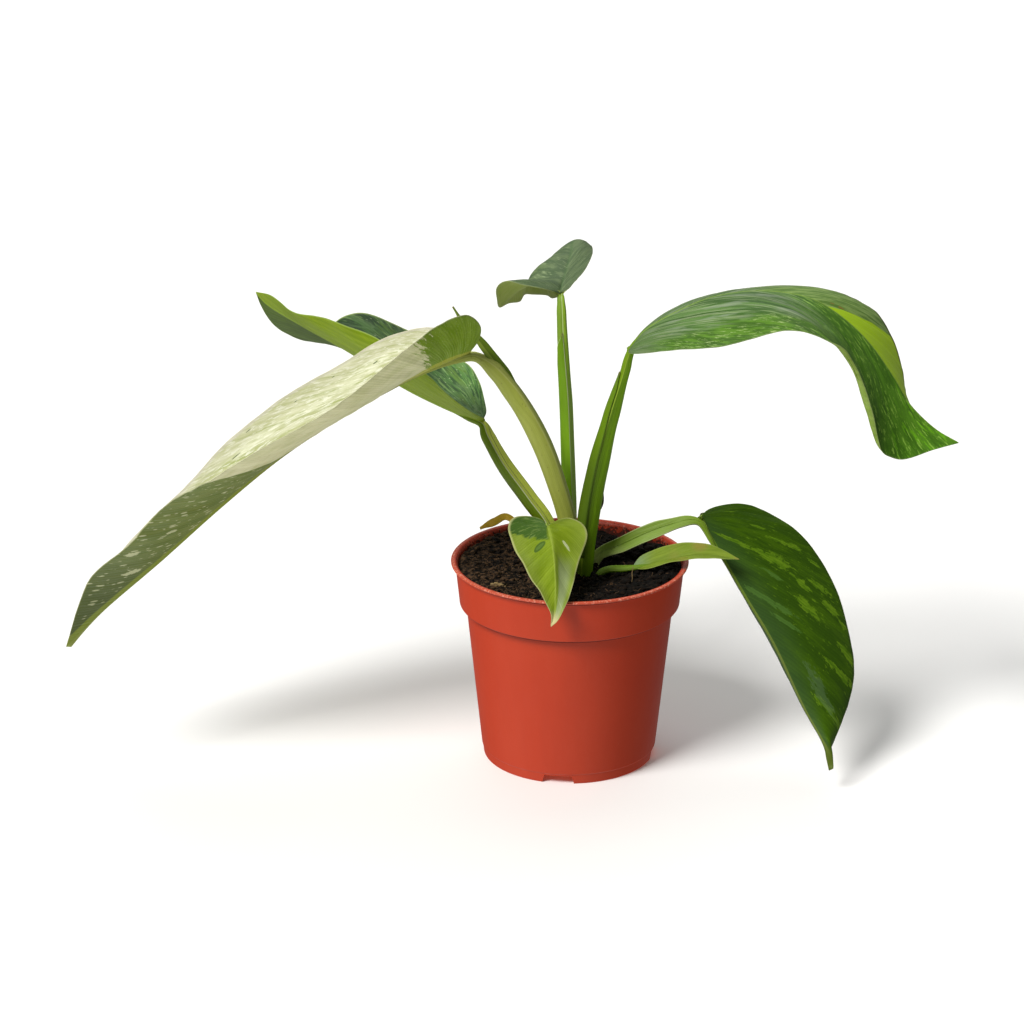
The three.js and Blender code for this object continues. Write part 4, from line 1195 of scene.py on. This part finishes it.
def finish_d():
    f = LeafFinish("leaf_d", LEAF_D, 43)
    # the upper face's first coat: green, with grey streaks and a greyer tone towards the foot that
    # are a painted sheen of reflected light
    green_and_sheen = f.coats(
        f.streaked("355a1a", "567a38", 2.4, 34, 1, 0.44, 0.56, 4.0),
        (f.streaks(0.8, 26, 6, 4.0).rise(0.52, 0.6) * 0.9, "8a9a70"),
        (f.streaks(5, 16, 61).rise(0.52, 0.66) * 0.6, "86947a"),
        (f.share.rise(0.34, 0.08) * 0.5, "5f744a"))
    # towards the near margin it is greener, with short bright streaks
    near = f.right * f.off.rise(0.5, 0.75) * f.share.rise(0.08, 0.2)
    light = f.streaks(0.8, 6, 17, 4.0, 0.65).rise(0.56, 0.62) * f.streaks(6, 14, 19).rise(0.4, 0.55)
    streaky = f.coats(f.streaked("3a600c", "55801c", 2.0, 12, 18, 0.42, 0.6, 4.0),
                      (light, "9cb46c"))
    deep_green = f.coats(
        f.streaked("3c6610", "4e7c1a", 2.4, 12, 2, 0.4, 0.62, 4.0),
        (f.streaks(0.8, 5.5, 8, 4.0, 0.7).rise(0.56, 0.61), "7da83c"),
        (f.streaks(1.6, 7, 38, 4.0, 0.7).rise(0.56, 0.6) * f.share.rise(0.8, 0.9), "5f9a14"))
    # the far half is hazy beyond a yellow-green sector that widens towards the margin
    beyond = f.streaked("567a28", "84a252", 1.6, 14, 44, 0.4, 0.6)
    ragged = (f.streaks(1.2, 9, 3, 4.0) - 0.5) * 0.04
    reach = (f.share - 0.656) * 28 + 0.05 + ragged * 8
    far = 1 - f.right
    sector = (f.share + ragged * 0.4).rise(0.650, 0.658) * far \
        * (f.off - reach).rise(0.04, -0.04) * f.share.rise(0.90, 0.86)
    rust = f.patches(((0.652, -0.217, 1.2, 3), (0.64, -0.16, 0.8, 2)))
    brown = f.off.rise(0.93, 0.985) * far * f.streaks(3, 9, 14).rise(0.3, 0.5)
    over = f.coats(
        green_and_sheen,
        (near, streaky),
        (f.share.rise(0.5, 0.66), deep_green),
        (far * f.share.rise(0.45, 0.55), beyond),
        (sector, f.mix(f.streaks(3, 16, 30), "9cc400", "b0d410")),
        (rust * 0.7, "9a6a24"),
        (brown * 0.75, "4d4024"))
    under = f.streaked("7a9438", "8ca44e", 3, 20, 5)
    base = f.coats(f.veined(f.mix(f.upper, under, over), 0.10, 0.3),
                   (f.rib(1.6) * 0.7, "7fa03c"), (f.margin(0.985, 0.997, 0.5), "8a9a64"))
    return f.leafy(base, 0.38)


blade_d = blade("leaf_blade_d", LEAF_D, finish_d())
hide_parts("blade_d")

# Blade E. A living sheet that hangs from stalk E at the lower right, its upper face towards
# the viewer: dark green with yellow-green patches along the veins, a pale midrib and a short
# drip tip.
LEAF_E = {
    "midrib": [(57, 0, 110), (63, -3, 100), (77, -12, 78), (89, -21, 60), (102, -33, 35),
               (112, -43, 18), (113, -46, 10)],
    "left": [(60, 3, 113), (69, 8, 114), (81, 12, 112), (97, 12, 103), (111, 8, 89),
             (120, 0, 71), (125, -10, 53), (124, -22, 35), (116, -37, 21.6), (112.9, -43, 15.6)],
    "right": [(58, 8, 110), (64, 18, 104), (72, 20, 90), (83, 14, 71), (94, 2, 52),
              (105, -18, 31), (111, -38.6, 20), (112, -43.6, 14.6)],
    "sag_left": [0, 2, 3, 2],
    "sag_right": [0, 2, 2, 0],
    "sweep": (0.8, 0.5),
    "half_width": 36,
    "spacing": 7.5,
}


def finish_e():
    f = LeafFinish("leaf_e", LEAF_E, 61)
    # the larger patches lie between the veins, with small flecks round them
    patch = f.patches(((0.29, -0.27, 2.2, 20), (0.392, -0.52, 5.5, 16), (0.33, -0.72, 2.2, 14),
                       (0.352, -0.80, 2.6, 8), (0.477, -0.66, 3.4, 6), (0.548, -0.58, 4.4, 9),
                       (0.487, -0.82, 2.6, 10), (0.548, -0.84, 3.0, 8), (0.678, -0.92, 3.4, 8),
                       (0.728, -0.76, 2.2, 18), (0.853, -0.66, 2.4, 16), (0.252, -0.64, 1.6, 7),
                       (0.137, -0.66, 1.6, 7), (0.412, -0.9, 2, 6), (0.598, -0.96, 2.2, 7)), 9)
    little = f.streaks(1.1, 4, 9, 4.0, 0.7).rise(0.60, 0.64) * f.off.rise(0.12, 0.4)
    patch_green = f.streaked("466a04", "648614", 0.9, 6, 22, 0.35, 0.6, 4.0)
    faint = f.patches(((0.528, -0.22, 2.4, 22), (0.442, -0.40, 1.6, 10), (0.60, -0.26, 1.6, 12)), 7)
    cloud = f.patches(((0.793, -0.42, 7, 9),), 8)
    over = f.coats(
        f.streaked("2e4c00", "3c5c00", 3, 18, 1, 0.4, 0.65, 4.0),
        (f.off.rise(0.4, 0.05) * 0.5, "37522a"),
        (patch.most(little * 0.8) * 0.9, patch_green),
        (faint * 0.6, "4f742c"),
        (cloud * 0.4, "56704a"))
    under = f.streaked("6d8a2a", "82993c", 3, 20, 5)
    base = f.coats(
        f.veined(f.mix(f.upper, under, over), 0.14, 0.15),
        (f.rib(2.0) * 0.85, f.mix(f.share.rise(0.2, 0.8), "66841c", "6c7a34")),
        (f.share.rise(0.93, 0.97) * 0.7, "4c5c14"),
        (f.right * f.off.rise(0.1, 0.9) * 0.5, "686c44"),
        (f.margin(0.985, 0.997, 0.4), "6f8a3a"))
    return f.leafy(base, 0.38)


blade_e = blade("leaf_blade_e", LEAF_E, finish_e())
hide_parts("blade_e")

# Small leaf F. A young, narrow leaf that has hardly unrolled, thin and light green, on a
# slender stalk of its own that rises from the peat and leans to the right in front of E.
LEAF_F = {
    "midrib": [(27, -8, 90), (42, -10, 94.8), (57, -12, 98.2), (74, -15, 97)],
    "left": [(31, -4, 94), (39, -4, 98), (50, -5, 101), (62, -8, 101)],
    "right": [(34, -12, 91.4), (42, -14.4, 95), (56, -16.4, 98), (67, -17, 98)],
    "fan": 1.2,
    "rib": 0.5,
    "sweep": (2, 2),
    "half_width": 7,
    "spacing": 3,
    "puff": 0.1,
    "wave": 0.1,
    "ripple": 0.1,
}
STALK_F = {
    "path": [(12, -8, 75), (12, -7.5, 83), (13.2, -7.2, 87.4), (17, -7, 89.2), (24, -8, 90.0),
             (31, -8.6, 91.0), (38, -9.4, 92.9)],
    "face": (-0.6, -0.6, 1),
    "width": [(0, 3.0), (0.3, 3.4), (0.6, 3.4), (0.8, 2.4), (1, 0.8)],
    "depth": [(0, 2.8), (0.5, 2.6), (0.8, 2.0), (1, 0.7)],
}


def finish_f():
    f = LeafFinish("leaf_f", LEAF_F, 71)
    pink = f.spots(f.spot, 11, 3).rise(0.5, 0.15) * f.share.rise(0.35, 0.6)
    # the left half near the foot is painted bluish grey, a painted highlight
    face = f.coats(f.streaked("697e1c", "7a8e2a", 1.2, 9, 1),
                   (f.share.rise(0.3, 0.0) * (1 - f.right) * 0.8, "7e9678"),
                   (pink * 0.4, "9c7640"))
    base = f.coats(f.veined(face, 0.06, 0.08), (f.margin(0.9, 0.99, 0.5), "98a658"),
                   (f.share.rise(0.93, 1.0) * 0.7, "9c8a48"))
    return f.leafy(base, 0.42)


blade_f = blade("small_leaf_f", LEAF_F, finish_f(), 90, 14)
stalk_f = stalk("small_stalk_f", STALK_F, deep, 20, 60)
for made, slot in ((blade_f, "leaf_light"), (stalk_f, "stalk_green")):
    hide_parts("leaf_f")

# Small leaf G. A young heart-shaped leaf, soft and light green, that hangs from its short
# stalk over the front rim, with cream margins, one dark lobe and a hooked cream tip.
LEAF_G = {
    "midrib": [(-10, -24, 116), (-8, -34, 111), (-7, -47, 103), (-7, -56, 95), (-8, -60, 87),
               (-9, -61, 84)],
    "right": [(-13, -21, 118), (-18, -20, 119), (-23, -21, 119), (-26, -25, 119),
              (-27, -31, 116), (-24, -40, 111), (-19, -50, 105), (-13, -57, 97), (-9, -60, 90)],
    "left": [(-6, -20, 117), (0, -17, 117), (5, -18, 115), (7, -22, 111), (3, -35, 103),
             (0, -50, 97), (-3, -58, 92), (-6, -61, 87)],
    "sag_left": [0, -1, -1, 0],
    "sag_right": [0, -1, -1, 0],
    "rib": 0.5,
    "sweep": (0.6, 0.6),
    "half_width": 14,
    "spacing": 5,
    "puff": 0.2,
    "wave": 0.4,
    "ripple": 0.15,
}


def finish_g():
    f = LeafFinish("leaf_g", LEAF_G, 83)
    # pale is a bluish-white patch on the left half towards the tip, a painted reflection
    pale = (1 - f.right) * f.share.rise(0.45, 0.66) * f.off.rise(0.95, 0.6) * f.off.rise(0.1, 0.3)
    lobe = f.right * (f.share + (f.streaks(1, 5, 5, 4.0) - 0.5) * 0.1).rise(0.37, 0.34) \
        * f.off.rise(0.02, 0.12)
    over = f.coats(
        f.streaked("738a12", "849a22", 2, 12, 1),
        (f.margin(0.4, 0.9, 0.4), "8c9c44"),
        (pale * 0.7, "9aa67c"),
        (lobe, f.streaked("3f5f1c", "6c8440", 1.0, 7, 8, 0.5, 0.66, 4.0)),
        (f.patches(((0.434, 0.317, 2.0, 7.6),), 0.5) * 0.9, "44621f"),
        (f.patches(((0.434, 0.317, 0.9, 5.4),), 0.5) * 0.7, "5f7c34"),
        # a small whitish smear, a painted glint
        (f.patches(((0.389, -0.45, 1.3, 5.0),), 3.0) * 0.6, "d9dfb8"))
    under = f.mix(f.streaks(2, 12, 3), "8fab3c", "a2ba50")
    base = f.coats(f.veined(f.mix(f.upper, under, over), 0.06, 0.08), (f.rib(1.2) * 0.3, "b4c65c"),
                   (f.margin(0.93, 0.99, 0.7), "b4b67c"), (f.share.rise(0.9, 0.97), "c4bc84"))
    return f.leafy(base, 0.32)


blade_g = blade("small_leaf_g", LEAF_G, finish_g(), 120, 22)
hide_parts("blade_g")

# Withered leaf H. A dead leaf, shrivelled to a dry strip: dark brown where it comes out of the
# peat, then bent over towards the back rim, with a yellow-orange end.
STUB_H = {
    "path": [(-17, 8, 76), (-19, 10, 88), (-22, 16, 97), (-25, 23, 100.8), (-28.6, 26.6, 101.4),
             (-33, 29.6, 98), (-37, 32.2, 95.2), (-39.8, 34, 93)],
    "face": (-0.3, -1, 0.5),
    "width": [(0, 1.6), (0.15, 1.8), (0.42, 1.8), (0.6, 2.8), (0.85, 3.6), (1, 1.4)],
    "depth": [(0, 1.4), (0.5, 1.2), (0.9, 1.0), (1, 0.7)],
    "channel": [(0, 0.2)],
    "wing": [(0, 0.1)],
}


def withered_finish():
    f = Finish("withered")
    spot = f.where()
    share, turn, _ = f.tag("place").parts()
    crease = (turn - 0.25).from_line().rise(0.1, 0.02)
    yellow = f.coats(f.mix(f.grain(spot, 3.0, 4.0, 0.6).rise(0.3, 0.7), "b89a1c", "d0ac3c"),
                     (crease * 0.4, "8a5f1c"))
    brown = f.mix(f.grain(spot, 0.8, 4.0, 0.7), "2c1a10", "6a3f20")
    up_to_bend = (share + f.grain(spot, 2.0, 3.0) * 0.16).rise(0.72, 0.66)
    relief = f.grain(spot, 0.8, 4.0, 0.7, (1, 1, 3))
    return f.close(f.mix(up_to_bend, yellow, brown), 0.62 + f.grain(spot, 1.0) * 0.15, 0.25,
                   relief, 0.0004)


withered = stalk("withered_leaf", STUB_H, withered_finish(), 24, 100)
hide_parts("withered_stub")

# Where it stands: a plain pale floor under soft studio light from the upper left. Nothing of
# it belongs to the plant.
FLOOR = ((-6, -6), (6, 12))  # near left and far right corner, in metres
floor_finish = Finish("floor")
tone = floor_finish.mix(floor_finish.grain(floor_finish.where(), 400, 1.0), "f4f4f3", "f7f7f6")
(left, near), (right, far) = FLOOR
floor_mesh = bpy.data.meshes.new("floor")
floor_mesh.from_pydata([(left, near, 0), (right, near, 0), (right, far, 0), (left, far, 0)],
                       [], [(0, 1, 2, 3)])
floor_mesh.materials.append(floor_finish.close(tone, 0.8, 0.1))
floor = bpy.data.objects.new("floor", floor_mesh)
bpy.context.scene.collection.objects.link(floor)
floor.visible_diffuse = False  # the light that comes back from it is the lamp "bounce"
floor.visible_shadow = False
floor.visible_glossy = False


def lamp(name, azimuth, elevation, strength, softness, tint=(1, 1, 1)):
    """A large distant lamp; azimuth 0 is in front of the pot, positive to the right."""
    light = bpy.data.lights.new(name, "SUN")
    light.energy = strength
    light.angle = math.radians(softness)
    light.color = tint
    made = bpy.data.objects.new(name, light)
    a, e = math.radians(azimuth), math.radians(elevation)
    toward = Vector((math.sin(a) * math.cos(e), -math.cos(a) * math.cos(e), math.sin(e)))
    made.rotation_euler = toward.to_track_quat("Z", "Y").to_euler()
    bpy.context.scene.collection.objects.link(made)


lamp("key", -48, 47, 3.4, 25, (1, 0.985, 0.96))
lamp("back", 180, 55, 0.9, 60)
lamp("bounce", -38, -68, 2.0, 100)
sky = bpy.data.worlds.new("sky")
sky.use_nodes = True
sky.node_tree.nodes["Background"].inputs["Color"].default_value = (1, 1, 1, 1)
sky.node_tree.nodes["Background"].inputs["Strength"].default_value = 0.24
bpy.context.scene.world = sky
